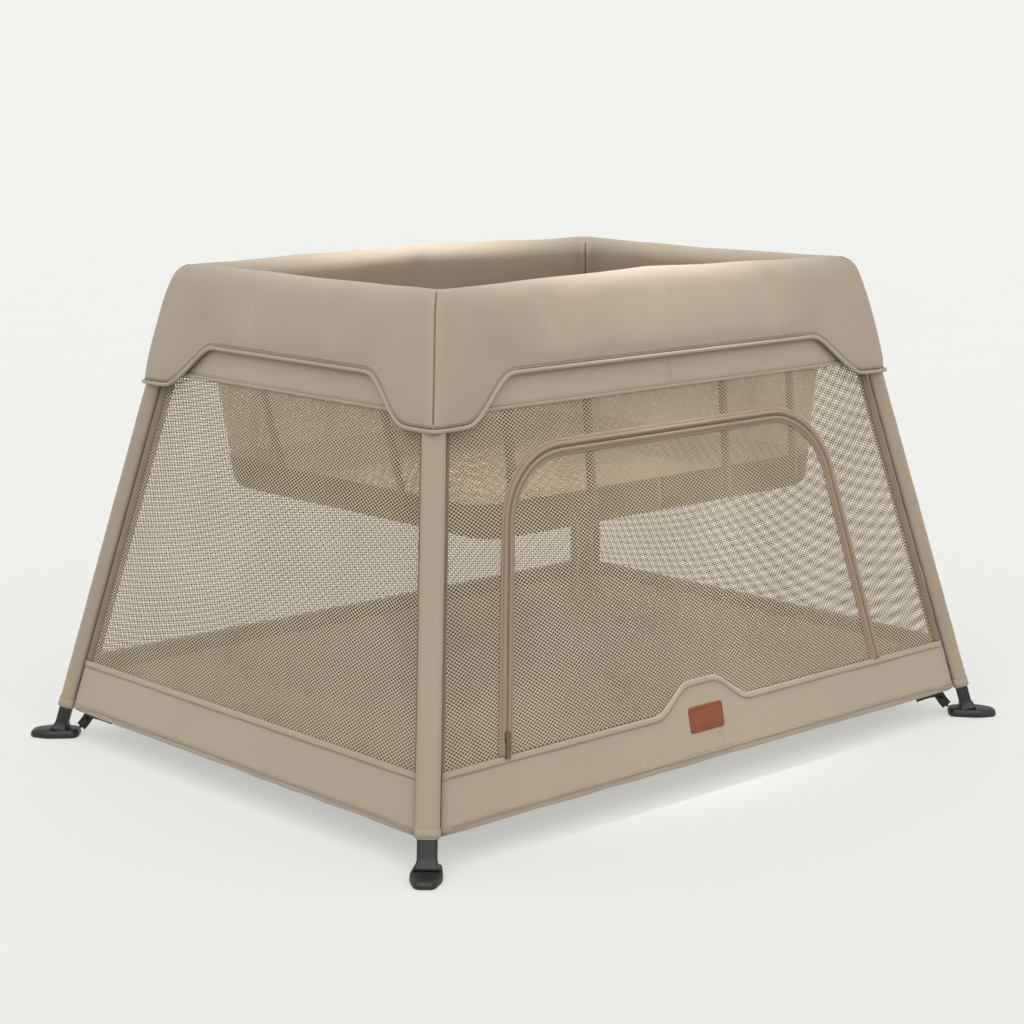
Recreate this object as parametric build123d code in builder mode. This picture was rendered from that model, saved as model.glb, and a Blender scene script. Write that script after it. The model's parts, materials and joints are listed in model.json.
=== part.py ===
"""Folding playpen: splayed-leg frame, padded rail cover, mesh walls, zip door, raised insert.

Origin on the floor under the middle of the pen. +Z is up, +X runs along the pen's length,
the long wall with the zip door faces -Y. All sizes are in millimetres.
"""

from math import hypot
import os

from build123d import *

os.makedirs("parts", exist_ok=True)

# ---------------------------------------------------------------- driving dimensions
HALF_LENGTH = 520.0  # leg line to the middle, along X, at the datum height
HALF_WIDTH = 400.0  # leg line to the middle, along Y, at the datum height
DATUM_Z = 45.0  # height where the two values above hold
SPLAY = 0.2133  # how far a wall leans in, per unit of height
TOP_Z = 680.0  # top of the padded cover at the corners
CREST = 9.0  # how much higher the cover stands at the middle hinges
CLEAR = 0.5  # play between pieces that move on each other
FABRIC_GAP = 0.4  # play between fabric and a piece of another body

# frame
RAIL_DIAMETER = 22.0
RAIL_WALL = 1.5
RAIL_DROP = 30.0  # rail axis below the top of the cover
MOULDING_WALL = 2.5  # plastic round a rail, each side
MOULDING_HEIGHT_WALL = 3.0  # plastic round a rail, above and below
BRACKET_ROUND = 10.0
BRACKET_REACH = 62.0  # length of each rail socket of a corner bracket
BRACKET_INSET = 5.0  # outside of a bracket inside the wall plane
PIVOT_DROP = 24.0  # leg pivot below the rail sockets
PIN_DIAMETER = 8.0
TONGUE = 12.0  # thickness of a leg head's tongue
TONGUE_RADIUS = 12.0
LUG = 4.0  # thickness of a bracket lug
LUG_INSET = 3.5  # outer lug inside the wall plane
FOLD_INWARD = 0.12  # sideways lead of a folded leg, per unit of its length
FOLD_DROP = 0.10  # how far a folded leg hangs below level, per unit of its length

# middle hinges
HINGE_SPACING = 44.0  # between the two hinge pins of one side
HINGE_TONGUE = 12.0
HOUSING_END = 9.0  # housing beyond its hinge pins
ROOF = 2.5  # thickness of a housing over its slot
BUTTON_DIAMETER = 12.0
BUTTON_TRAVEL = 2.5
SPRING_OUTER = 8.0
SPRING_INNER = 5.2

# legs and feet
LEG_ACROSS = 26.0  # section of a leg tube, across the corner
LEG_THICK = 18.0  # section of a leg tube, towards the corner
LEG_ROUND = 4.0
LEG_WALL = 1.6
LEG_TOP_DROP = 36.0  # top of a leg tube below its pivot
COLLAR = 8.0  # height of the leg head's collar
PLUG = 26.0  # how deep heads and feet sit in the tubes
SLEEVE_WALL = 2.2
SLEEVE_LOW_Z = 47.0
SLEEVE_END = 6.0  # sleeve's top edge below the tube's top
FOOT_OUT = 44.0  # foot beyond the leg line, along the diagonal
FOOT_IN = 31.0
FOOT_WIDTH = 42.0
FOOT_THICK = 18.0
FOOT_ROUND = 7.0
STRAP_WIDTH = 20.0
STRAP_THICK = 2.0
STRAP_FAR = 66.0  # strap's end under the floor's corner, inward from the leg line
STRAP_NEAR_Z = 16.0
HOOK_LENGTH = 16.0
HOOK_THICK = 7.0

# fabric
COVER_DEPTH = 105.0  # padded cover along the walls
LINING_DEPTH = 74.0  # padded cover on its inner side
POCKET_DEPTH = 163.0  # padded cover round each leg
POCKET_SKIN = 3.0
COVER_PROUD = 9.0  # cover beyond the wall plane
COVER_SKIN = 5.0
LINING_SKIN = 3.0
LINING_PLAY = 5.0  # between the lining and the mouldings
COVER_TOP_SKIN = 11.0
COVER_CORNER = 8.0  # corner radius on the wall planes
SHOULDER = 20.0  # height of the rounded top edge
SHOULDER_SET = 14.0  # how far the rounded top edge draws in
BAND_DEPTH = 45.0  # plain band seen below the cover
BAND_TUCK = 23.0  # plain band hidden under the cover
MESH_THICK = 2.0
BAND_THICK = 3.0
SKIRT_TOP_Z = 115.0
SKIRT_LOW_Z = 48.0
SKIRT_THICK = 3.0
EDGE_PLAY = 1.9  # wall fabric beside the pockets of the cover
FLOOR_Z = 44.0
FLOOR_THICK = 3.0
MATTRESS_THICK = 55.0
MATTRESS_END_GAP = 14.8  # mattress to the end walls, at its top
MATTRESS_SIDE_GAP = 28.8
MATTRESS_CORNER = 30.0
MATTRESS_ROUND = 8.0

# arched rise of the front skirt, with the patch
ARCH_X = -26.0
ARCH_RISE = 35.0
ARCH_TOP_WIDTH = 70.0
ARCH_FOOT_WIDTH = 170.0
PATCH_WIDTH = 65.0
PATCH_HEIGHT = 35.0
PATCH_THICK = 1.5
PATCH_OFFSET = 1.0  # patch beside the arch's middle
PATCH_DROP = 16.5  # patch's middle below the top of the skirt

# zip door in the front wall
DOOR_DROP = 56.0  # top of the door below the plain band
DOOR_RISE = 2.0  # foot of the zip above the skirt
DOOR_LEFT_MARGIN = 123.6  # foot of the zip inside the leg lines
DOOR_RIGHT_MARGIN = 169.1
DOOR_LEFT_LEAN = 0.2112
DOOR_RIGHT_LEAN = 0.1715
DOOR_CORNER = 108.0
TAPE_WIDTH = 22.0
SLIDER_WIDTH = 9.0
SLIDER_LENGTH = 15.0
SLIDER_THICK = 4.0
SLIDER_RISE = 21.0  # slider above the foot of the zip
PULL_LENGTH = 26.0
PULL_THICK = 2.0

# raised insert
INSERT_RIM_DROP = 84.0  # insert's rim below the top of the cover
INSERT_DEPTH = 238.0
INSERT_INSET = 24.0  # insert's rim inside the wall planes
INSERT_END_INSET = 137.2  # insert's floor inside the end walls
INSERT_SIDE_INSET = 53.2  # insert's floor inside the long walls
INSERT_CORNER = 36.0
INSERT_WALL = 2.5

# ---------------------------------------------------------------- derived values
STRETCH = hypot(1.0, SPLAY)  # length along a leaning wall per unit of height
LEG_AXIS_STRETCH = hypot(STRETCH, SPLAY)
SIDES = {"left": -1, "right": 1}
ENDS = {"front": -1, "back": 1}
RAIL_Z = TOP_Z - RAIL_DROP
BRACKET_WIDTH = RAIL_DIAMETER + 2 * MOULDING_WALL
BRACKET_HEIGHT = RAIL_DIAMETER + 2 * MOULDING_HEIGHT_WALL
RAIL_INSET = BRACKET_INSET + BRACKET_WIDTH / 2
PIVOT_Z = RAIL_Z - BRACKET_HEIGHT / 2 - PIVOT_DROP
PIVOT_INSET = LUG_INSET + LUG + CLEAR + TONGUE / 2
PIVOT_SWEEP = TONGUE_RADIUS + 2 * CLEAR
HINGE_EYE = RAIL_DIAMETER / 2
RAIL_SETBACK = 2 * HINGE_EYE  # rail end from its hinge pin
HOUSING_LENGTH = HINGE_SPACING + 2 * HOUSING_END
HOUSING_HEIGHT = BRACKET_HEIGHT
HOUSING_WIDTH = BRACKET_WIDTH
LEG_TOP_Z = PIVOT_Z - LEG_TOP_DROP
SLEEVE_TOP_Z = LEG_TOP_Z - SLEEVE_END
STRAP_NEAR = FOOT_IN + 2 * CLEAR
COVER_LOW_Z = TOP_Z - COVER_DEPTH
COVER_INNER_LOW_Z = TOP_Z - LINING_DEPTH
POCKET_LOW_Z = TOP_Z - POCKET_DEPTH
POCKET_TOP_Z = LEG_TOP_Z + COLLAR + 2 * COVER_CORNER
COVER_WIDTH = COVER_PROUD + BRACKET_INSET + BRACKET_WIDTH + LINING_PLAY + LINING_SKIN
BAND_LOW_Z = COVER_LOW_Z - BAND_DEPTH
BAND_TOP_Z = COVER_LOW_Z + BAND_TUCK
WALL_EDGE = LEG_ACROSS / 2 + SLEEVE_WALL + FABRIC_GAP + POCKET_SKIN + EDGE_PLAY
ARCH_TOP_Z = SKIRT_TOP_Z + ARCH_RISE
PATCH_CENTRE_X = ARCH_X + PATCH_OFFSET
PATCH_CENTRE_Z = SKIRT_TOP_Z - PATCH_DROP
DOOR_TOP_Z = BAND_LOW_Z - DOOR_DROP
DOOR_FOOT_Z = SKIRT_TOP_Z + DOOR_RISE
SLIDER_LOW_Z = DOOR_FOOT_Z + SLIDER_RISE
INSERT_TOP_Z = TOP_Z - INSERT_RIM_DROP
INSERT_LOW_Z = INSERT_TOP_Z - INSERT_DEPTH


def wall_x(height: float) -> float:
    """Half length of the pen at a height, on the wall plane."""
    return HALF_LENGTH - SPLAY * (height - DATUM_Z)


def wall_y(height: float) -> float:
    """Half width of the pen at a height, on the wall plane."""
    return HALF_WIDTH - SPLAY * (height - DATUM_Z)


def up_wall(height: float) -> float:
    """Distance up a leaning wall from the datum height."""
    return (height - DATUM_Z) * STRETCH


def long_wall(sy: int, proud: float = 0.0) -> Plane:
    """Plane of a long wall: local X is along the pen, local Y up the wall, Z outward."""
    flat = Plane(origin=(0, sy * HALF_WIDTH, DATUM_Z), x_dir=(-sy, 0, 0), z_dir=(0, sy, SPLAY))
    return flat.offset(proud)


def end_wall(sx: int, proud: float = 0.0) -> Plane:
    """Plane of an end wall: local X is across the pen, local Y up the wall, Z outward."""
    flat = Plane(origin=(sx * HALF_LENGTH, 0, DATUM_Z), x_dir=(0, sx, 0), z_dir=(sx, 0, SPLAY))
    return flat.offset(proud)


def leg_point(sx: int, sy: int, height: float) -> Vector:
    """Point of a leg line at a height."""
    return Vector(sx * wall_x(height), sy * wall_y(height), height)


def leg_plane(sx: int, sy: int, height: float) -> Plane:
    """Plane square to a leg: local X across the corner, local Z up the leg."""
    return Plane(
        origin=leg_point(sx, sy, height), x_dir=(-sy, sx, 0), z_dir=(-sx * SPLAY, -sy * SPLAY, 1)
    )


def fold_axis(sx: int, sy: int) -> Vector:
    """Axis that a leg folds about, from hanging down to lying across under the end rail."""
    lead = -FOLD_INWARD * sx if sy < 0 else FOLD_INWARD * sx
    hanging = Vector(sx * SPLAY, sy * SPLAY, -1)
    folded = Vector(lead, -sy, -FOLD_DROP)
    return hanging.cross(folded).normalized()


def pivot_point(sx: int, sy: int) -> Vector:
    """Centre of a leg pivot."""
    return leg_point(sx, sy, PIVOT_Z) - Vector(sx * PIVOT_INSET, sy * PIVOT_INSET, 0)


def pivot_plane(sx: int, sy: int) -> Plane:
    """Plane of a leg's swing through its pivot, local Y upward."""
    axis = fold_axis(sx, sy)
    return Plane(origin=pivot_point(sx, sy), x_dir=Vector(0, 0, 1).cross(axis), z_dir=axis)


def save(piece: Part, name: str) -> None:
    """Label a finished piece and write it as its own file."""
    piece.label = name
    export_step(piece, f"parts/{name}.step")


# ---------------------------------------------------------------- frame
RAIL_END_X = HINGE_SPACING / 2 + RAIL_SETBACK
CORNER_X = wall_x(RAIL_Z) - RAIL_INSET
CORNER_Y = wall_y(RAIL_Z) - RAIL_INSET
RAIL_START_X = CORNER_X - BRACKET_WIDTH / 2
RAIL_START_Y = CORNER_Y - BRACKET_WIDTH / 2
LONG_RAIL_LENGTH = RAIL_START_X - RAIL_END_X


def long_rail_plane(sx: int, sy: int) -> Plane:
    """Start of a long rail at its corner, local Z along the rail to the middle."""
    return Plane(origin=(sx * RAIL_START_X, sy * CORNER_Y, RAIL_Z), z_dir=(-sx, 0, 0))


def end_rail(sx: int) -> Part:
    """Tube across one end of the pen."""
    with BuildPart() as tube:
        across = Plane(origin=(sx * CORNER_X, -RAIL_START_Y, RAIL_Z), z_dir=(0, 1, 0))
        with BuildSketch(across):
            Circle(RAIL_DIAMETER / 2)
            Circle(RAIL_DIAMETER / 2 - RAIL_WALL, mode=Mode.SUBTRACT)
        extrude(amount=2 * RAIL_START_Y)
    return tube.part


def long_rail(sx: int, sy: int) -> Part:
    """Half of a long top rail, from its corner bracket to the middle hinge."""
    with BuildPart() as tube:
        with BuildSketch(long_rail_plane(sx, sy)):
            Circle(RAIL_DIAMETER / 2)
            Circle(RAIL_DIAMETER / 2 - RAIL_WALL, mode=Mode.SUBTRACT)
        extrude(amount=LONG_RAIL_LENGTH)
    return tube.part


def hinge_end(sx: int, sy: int) -> Part:
    """Moulded end of a half rail: plug, shoulder and an eye on the hinge pin."""
    with BuildPart() as end:
        with BuildSketch(Plane(origin=(sx * RAIL_END_X, sy * CORNER_Y, RAIL_Z), z_dir=(sx, 0, 0))):
            Circle(RAIL_DIAMETER / 2 - RAIL_WALL)
        extrude(amount=PLUG)
        with BuildSketch(Plane(origin=(0, sy * CORNER_Y, RAIL_Z), x_dir=(1, 0, 0), z_dir=(0, -1, 0))):
            with Locations((sx * HINGE_SPACING / 2, 0)):
                Circle(HINGE_EYE)
            reach = RAIL_SETBACK
            with Locations((sx * (HINGE_SPACING / 2 + reach / 2), 0)):
                Rectangle(reach, 2 * HINGE_EYE - 3.0)
            with Locations((sx * HINGE_SPACING / 2, 0)):
                Circle(PIN_DIAMETER / 2, mode=Mode.SUBTRACT)
        extrude(amount=HINGE_TONGUE / 2, both=True)
    return end.part


def latch_housing(sy: int) -> Part:
    """Moulded housing of a middle hinge: a channel open below that takes both rail ends."""
    with BuildPart() as housing:
        with BuildSketch(Plane.XY.offset(RAIL_Z - HOUSING_HEIGHT / 2)):
            with Locations((0, sy * CORNER_Y)):
                RectangleRounded(HOUSING_LENGTH, HOUSING_WIDTH, 5.0)
        extrude(amount=HOUSING_HEIGHT)
        with BuildSketch(Plane.XY.offset(RAIL_Z - HOUSING_HEIGHT / 2)):
            with Locations((0, sy * CORNER_Y)):
                Rectangle(HOUSING_LENGTH, HINGE_TONGUE + 2 * CLEAR)
        extrude(amount=HOUSING_HEIGHT - ROOF, mode=Mode.SUBTRACT)
        roof_half = HINGE_SPACING / 2 - HINGE_EYE - CLEAR
        open_top = HOUSING_LENGTH / 2 - roof_half
        with BuildSketch(Plane.XY.offset(RAIL_Z)):
            with Locations(*((sx * (roof_half + open_top / 2), sy * CORNER_Y) for sx in (-1, 1))):
                Rectangle(open_top, HINGE_TONGUE + 2 * CLEAR)
        extrude(amount=HOUSING_HEIGHT, mode=Mode.SUBTRACT)
        side = Plane(origin=(0, sy * CORNER_Y, RAIL_Z), x_dir=(1, 0, 0), z_dir=(0, -1, 0))
        with BuildSketch(side):
            with Locations((-HINGE_SPACING / 2, 0), (HINGE_SPACING / 2, 0)):
                Circle(PIN_DIAMETER / 2)
        extrude(amount=HOUSING_WIDTH, both=True, mode=Mode.SUBTRACT)
        inner = Plane(
            origin=(0, sy * (CORNER_Y - HINGE_TONGUE / 2), RAIL_Z), x_dir=(1, 0, 0), z_dir=(0, -sy, 0)
        )
        with BuildSketch(inner):
            Circle(BUTTON_DIAMETER / 2 + CLEAR)
        extrude(amount=HOUSING_WIDTH, mode=Mode.SUBTRACT)
    return housing.part


def release_button(sy: int) -> Part:
    """Push button on the inner side of a middle hinge."""
    face_y = CORNER_Y - HOUSING_WIDTH / 2 - BUTTON_TRAVEL
    depth = HOUSING_WIDTH / 2 - HINGE_TONGUE / 2 - 2 * CLEAR
    with BuildPart() as button:
        with BuildSketch(Plane(origin=(0, sy * face_y, RAIL_Z), x_dir=(1, 0, 0), z_dir=(0, sy, 0))):
            Circle(BUTTON_DIAMETER / 2)
        extrude(amount=depth)
        fillet(button.faces().sort_by(Axis.Y)[-1 if sy < 0 else 0].edges(), 1.0)
    return button.part


def hinge_pins() -> Part:
    """The four pins of the two middle hinges."""
    with BuildPart() as pins:
        for sy in (-1, 1):
            side = Plane(origin=(0, sy * CORNER_Y, RAIL_Z), x_dir=(1, 0, 0), z_dir=(0, -1, 0))
            with BuildSketch(side):
                with Locations((-HINGE_SPACING / 2, 0), (HINGE_SPACING / 2, 0)):
                    Circle(PIN_DIAMETER / 2 - 0.05)
            extrude(amount=HOUSING_WIDTH / 2, both=True)
    return pins.part


def corner_bracket(sx: int, sy: int) -> Part:
    """Moulded corner: two rail sockets and the two lugs that carry a leg."""
    swing = pivot_plane(sx, sy)
    inner_face = TONGUE / 2 + CLEAR
    rise = RAIL_Z - PIVOT_Z - BRACKET_HEIGHT / 2 + LUG
    middle = BRACKET_REACH / 2 - BRACKET_WIDTH / 2
    with BuildPart() as bracket:
        with BuildSketch(Plane.XY.offset(RAIL_Z - BRACKET_HEIGHT / 2)):
            with Locations((sx * (CORNER_X - middle), sy * CORNER_Y)):
                RectangleRounded(BRACKET_REACH, BRACKET_WIDTH, BRACKET_ROUND)
            with Locations((sx * CORNER_X, sy * (CORNER_Y - middle))):
                RectangleRounded(BRACKET_WIDTH, BRACKET_REACH, BRACKET_ROUND)
        extrude(amount=BRACKET_HEIGHT)
        for face, thickness in ((inner_face, LUG), (-inner_face, -LUG)):
            with BuildSketch(swing.offset(face)):
                Circle(TONGUE_RADIUS - 1.0)
                with Locations((0, rise / 2)):
                    Rectangle(2 * TONGUE_RADIUS - 2.0, rise)
            extrude(amount=thickness)
        with BuildSketch(swing.offset(-inner_face - LUG)):
            Circle(PIN_DIAMETER / 2)
        extrude(amount=TONGUE + 2 * CLEAR + 2 * LUG, mode=Mode.SUBTRACT)
        with BuildSketch(long_rail_plane(sx, sy)):
            Circle(RAIL_DIAMETER / 2)
        extrude(amount=BRACKET_REACH, mode=Mode.SUBTRACT)
        across = Plane(origin=(sx * CORNER_X, sy * RAIL_START_Y, RAIL_Z), z_dir=(0, -sy, 0))
        with BuildSketch(across):
            Circle(RAIL_DIAMETER / 2)
        extrude(amount=BRACKET_REACH, mode=Mode.SUBTRACT)
        with BuildSketch(swing):
            Circle(PIVOT_SWEEP)
        extrude(amount=inner_face, both=True, mode=Mode.SUBTRACT)
    return bracket.part


def pivot_pins(sx: int) -> Part:
    """The two leg pivot pins of one end."""
    length = TONGUE + 2 * CLEAR + 2 * LUG
    with BuildPart() as pins:
        for sy in (-1, 1):
            with BuildSketch(pivot_plane(sx, sy).offset(-length / 2)):
                Circle(PIN_DIAMETER / 2 - 0.05)
            extrude(amount=length)
    return pins.part


# ---------------------------------------------------------------- legs
def leg_length(low: float, high: float) -> float:
    """Length along a leg between two heights."""
    return (high - low) * LEG_AXIS_STRETCH


def leg_section(grow: float) -> None:
    """Section of a leg tube, larger or smaller all round, in the open sketch."""
    RectangleRounded(LEG_ACROSS + 2 * grow, LEG_THICK + 2 * grow, LEG_ROUND + grow)


def leg_tube(sx: int, sy: int) -> Part:
    """Tube of one leg."""
    with BuildPart() as tube:
        with BuildSketch(leg_plane(sx, sy, DATUM_Z)):
            leg_section(0.0)
            RectangleRounded(LEG_ACROSS - 2 * LEG_WALL, LEG_THICK - 2 * LEG_WALL, LEG_ROUND - LEG_WALL, mode=Mode.SUBTRACT)
        extrude(amount=leg_length(DATUM_Z, LEG_TOP_Z))
    return tube.part


def leg_head(sx: int, sy: int) -> Part:
    """Moulded head of a leg: plug, collar and the tongue on the pivot pin."""
    with BuildPart() as head:
        with BuildSketch(leg_plane(sx, sy, LEG_TOP_Z)):
            leg_section(0.0)
        extrude(amount=COLLAR)
        with BuildSketch(leg_plane(sx, sy, LEG_TOP_Z)):
            leg_section(-LEG_WALL)
        extrude(amount=-PLUG)
        swing = pivot_plane(sx, sy)
        foot = swing.to_local_coords(leg_point(sx, sy, LEG_TOP_Z + 5.0))
        with BuildSketch(swing):
            Circle(TONGUE_RADIUS)
            with BuildLine():
                Polyline(
                    (0.6 * foot.X - 8.0, foot.Y),
                    (0.6 * foot.X + 8.0, foot.Y),
                    (TONGUE_RADIUS - 1.0, 0),
                    (-TONGUE_RADIUS + 1.0, 0),
                    close=True,
                )
            make_face()
            Circle(PIN_DIAMETER / 2, mode=Mode.SUBTRACT)
        extrude(amount=TONGUE / 2, both=True)
    return head.part


def leg_sleeve(sx: int, sy: int) -> Part:
    """Fabric sleeve over one leg."""
    with BuildPart() as sleeve:
        with BuildSketch(leg_plane(sx, sy, SLEEVE_LOW_Z)):
            leg_section(SLEEVE_WALL)
        extrude(amount=leg_length(SLEEVE_LOW_Z, SLEEVE_TOP_Z))
        with BuildSketch(leg_plane(sx, sy, SLEEVE_LOW_Z)):
            leg_section(0.05)
        extrude(amount=leg_length(SLEEVE_LOW_Z, SLEEVE_TOP_Z), mode=Mode.SUBTRACT)
    return sleeve.part


def foot(sx: int, sy: int) -> Part:
    """Moulded foot: a blade along the pen's diagonal, a post and a plug in the leg."""
    centre = leg_point(sx, sy, 0.0)
    ground = Plane(origin=centre, x_dir=(sx, sy, 0), z_dir=(0, 0, 1))
    length = FOOT_OUT + FOOT_IN
    with BuildPart() as shoe:
        with BuildSketch(ground):
            with Locations(((FOOT_OUT - FOOT_IN) / 2, 0)):
                RectangleRounded(length, FOOT_WIDTH, FOOT_ROUND)
        extrude(amount=FOOT_THICK, taper=4.0)
        fillet(shoe.faces().sort_by(Axis.Z)[-1].edges(), 3.0)
        with BuildSketch(leg_plane(sx, sy, DATUM_Z)):
            leg_section(0.0)
        extrude(amount=-leg_length(8.0, DATUM_Z))
        with BuildSketch(leg_plane(sx, sy, DATUM_Z)):
            leg_section(-LEG_WALL)
        extrude(amount=PLUG)
    return shoe.part


# ---------------------------------------------------------------- padded cover
def cover_ring(low: float, high: float, grow_low: float, grow_high: float) -> Part:
    """Closed block between two heights whose outline is the wall planes, grown outward."""
    with BuildPart() as block:
        for height, grow in ((low, grow_low), (high, grow_high)):
            with BuildSketch(Plane.XY.offset(height)):
                RectangleRounded(
                    2 * (wall_x(height) + grow),
                    2 * (wall_y(height) + grow),
                    max(COVER_CORNER + grow, COVER_CORNER),
                )
        loft(ruled=True)
    return block.part


def cover_half(sx: int) -> Part:
    """Padded cover over the rails of one half, with a pocket down each leg."""
    shoulder_z = TOP_Z - SHOULDER
    low = COVER_LOW_Z - 1.0
    roof = TOP_Z - COVER_TOP_SKIN
    above = TOP_Z + 2 * CREST
    rim = COVER_PROUD - COVER_SKIN
    inner = COVER_PROUD - COVER_WIDTH
    lining = inner + LINING_SKIN
    side = Plane(origin=(0, 0, 0), x_dir=(1, 0, 0), z_dir=(0, -1, 0))
    channel = cover_ring(low, shoulder_z, rim, rim) + cover_ring(shoulder_z, roof, rim, rim - COVER_CORNER)
    channel = channel - cover_ring(low, TOP_Z, lining, lining)
    with BuildPart() as cover:
        add(cover_ring(COVER_LOW_Z, shoulder_z, COVER_PROUD, COVER_PROUD))
        add(cover_ring(shoulder_z, TOP_Z, COVER_PROUD, COVER_PROUD - SHOULDER_SET))
        with BuildSketch(side):
            Polygon(
                (-CORNER_X, TOP_Z - 1.0),
                (CORNER_X, TOP_Z - 1.0),
                (CORNER_X, TOP_Z),
                (0, TOP_Z + CREST),
                (-CORNER_X, TOP_Z),
                align=None,
            )
        extrude(amount=wall_y(TOP_Z) - 6.0, both=True)
        for sy in (-1, 1):
            with BuildSketch(leg_plane(sx, sy, POCKET_LOW_Z)):
                leg_section(SLEEVE_WALL + FABRIC_GAP + POCKET_SKIN)
            extrude(amount=leg_length(POCKET_LOW_Z, POCKET_TOP_Z))
        add(channel, mode=Mode.SUBTRACT)
        add(cover_ring(COVER_LOW_Z - 2.0, above, inner, inner), mode=Mode.SUBTRACT)
        with BuildSketch(Plane.XY.offset(COVER_LOW_Z - 2.0)):
            Rectangle(
                2 * (wall_x(COVER_INNER_LOW_Z) + lining + 8.0), 2 * (wall_y(COVER_INNER_LOW_Z) + lining + 8.0)
            )
        extrude(amount=COVER_INNER_LOW_Z - COVER_LOW_Z + 2.0, mode=Mode.SUBTRACT)
        for sy in (-1, 1):
            with BuildSketch(leg_plane(sx, sy, POCKET_LOW_Z - 5.0)):
                leg_section(SLEEVE_WALL + FABRIC_GAP)
            extrude(amount=leg_length(POCKET_LOW_Z - 5.0, POCKET_TOP_Z - 2.0), mode=Mode.SUBTRACT)
        split(bisect_by=Plane.YZ, keep=Keep.BOTTOM if sx < 0 else Keep.TOP)
    return cover.part


# ---------------------------------------------------------------- walls
def wall_outline(sx: int, half, low: float, high: float) -> list[tuple[float, float]]:
    """Corners of half a wall from the middle line to the leg, between two heights."""
    return [
        (0.0, up_wall(low)),
        (sx * (half(low) - WALL_EDGE), up_wall(low)),
        (sx * (half(high) - WALL_EDGE), up_wall(high)),
        (0.0, up_wall(high)),
    ]


def arch_profile(grow: float) -> None:
    """Arched rise of the front skirt, in the open sketch on the front wall."""
    foot_half = ARCH_FOOT_WIDTH / 2 + grow
    top_half = ARCH_TOP_WIDTH / 2 + grow
    base = up_wall(SKIRT_TOP_Z - 4.0)
    with BuildLine() as outline:
        rise = Spline(
            (ARCH_X - foot_half, up_wall(SKIRT_TOP_Z) + grow),
            (ARCH_X - top_half, up_wall(ARCH_TOP_Z - 6.0) + grow),
            (ARCH_X, up_wall(ARCH_TOP_Z) + grow),
            (ARCH_X + top_half, up_wall(ARCH_TOP_Z - 6.0) + grow),
            (ARCH_X + foot_half, up_wall(SKIRT_TOP_Z) + grow),
            tangents=[(1, 0.15), (1, -0.15)],
        )
        Polyline(rise @ 1, (ARCH_X + foot_half, base), (ARCH_X - foot_half, base), rise @ 0)
    make_face(outline.edges())


def door_profile(grow: float) -> None:
    """Outline of the zip door, grown or shrunk, in the open sketch on the front wall."""
    top = up_wall(DOOR_TOP_Z) + grow
    low = up_wall(SKIRT_TOP_Z)
    rise = DOOR_TOP_Z - DOOR_FOOT_Z
    left = -wall_x(DOOR_FOOT_Z) + DOOR_LEFT_MARGIN - grow
    right = wall_x(DOOR_FOOT_Z) - DOOR_RIGHT_MARGIN + grow
    slack = 1.0 + grow / rise
    with BuildLine() as outline:
        FilletPolyline(
            (left, low),
            (left + DOOR_LEFT_LEAN * rise * slack, top),
            (right - DOOR_RIGHT_LEAN * rise * slack, top),
            (right, low),
            radius=DOOR_CORNER + grow,
        )
        Line((right, low), (left, low))
    make_face(outline.edges())


def keep_side(sx: int) -> None:
    """Cut the open sketch on the front wall down to one side of the middle."""
    with Locations((-sx * HALF_LENGTH, 0)):
        Rectangle(2 * HALF_LENGTH, 4 * HALF_LENGTH, mode=Mode.SUBTRACT)


def front_mesh(sx: int) -> Part:
    """Mesh of the front wall round the zip door, one half."""
    with BuildPart() as mesh:
        with BuildSketch(long_wall(-1, -MESH_THICK / 2)):
            Polygon(*wall_outline(sx, wall_x, SKIRT_TOP_Z, BAND_LOW_Z), align=None)
        extrude(amount=MESH_THICK)
        with BuildSketch(long_wall(-1, -MESH_THICK)):
            door_profile(TAPE_WIDTH / 2)
        extrude(amount=2 * MESH_THICK, mode=Mode.SUBTRACT)
    return mesh.part


def plain_mesh(plane: Plane, outline: list[tuple[float, float]], thickness: float) -> Part:
    """Flat piece of wall fabric centred on a wall plane."""
    with BuildPart() as mesh:
        with BuildSketch(plane.offset(-thickness / 2)):
            Polygon(*outline, align=None)
        extrude(amount=thickness)
    return mesh.part


def end_outline(low: float, high: float) -> list[tuple[float, float]]:
    """Corners of a whole end wall between two heights."""
    return [
        (-(wall_y(low) - WALL_EDGE), up_wall(low)),
        (wall_y(low) - WALL_EDGE, up_wall(low)),
        (wall_y(high) - WALL_EDGE, up_wall(high)),
        (-(wall_y(high) - WALL_EDGE), up_wall(high)),
    ]


def fabric_course(sx: int, low: float, high: float, thickness: float, arched: bool) -> Part:
    """Course of plain fabric round one half of the pen: front, end and back pieces."""
    with BuildPart() as course:
        for sy in (-1, 1):
            with BuildSketch(long_wall(sy, -thickness / 2)):
                Polygon(*wall_outline(-sy * sx, wall_x, low, high), align=None)
            extrude(amount=thickness)
        with BuildSketch(end_wall(sx, -thickness / 2)):
            Polygon(*end_outline(low, high), align=None)
        extrude(amount=thickness)
        if arched:
            with BuildSketch(long_wall(-1, -thickness / 2)):
                arch_profile(0.0)
                keep_side(sx)
            extrude(amount=thickness)
    return course.part


def door_flap(sx: int) -> Part:
    """Half of the mesh flap inside the zip."""
    with BuildPart() as flap:
        with BuildSketch(long_wall(-1, -MESH_THICK / 2)):
            door_profile(-TAPE_WIDTH / 2 - FABRIC_GAP)
            with Locations((0, up_wall(SKIRT_TOP_Z))):
                Rectangle(2 * HALF_LENGTH, 4.0, mode=Mode.SUBTRACT)
            keep_side(sx)
        extrude(amount=MESH_THICK)
        with BuildSketch(long_wall(-1, -MESH_THICK)):
            arch_profile(1.0)
        extrude(amount=2 * MESH_THICK, mode=Mode.SUBTRACT)
    return flap.part


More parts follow.
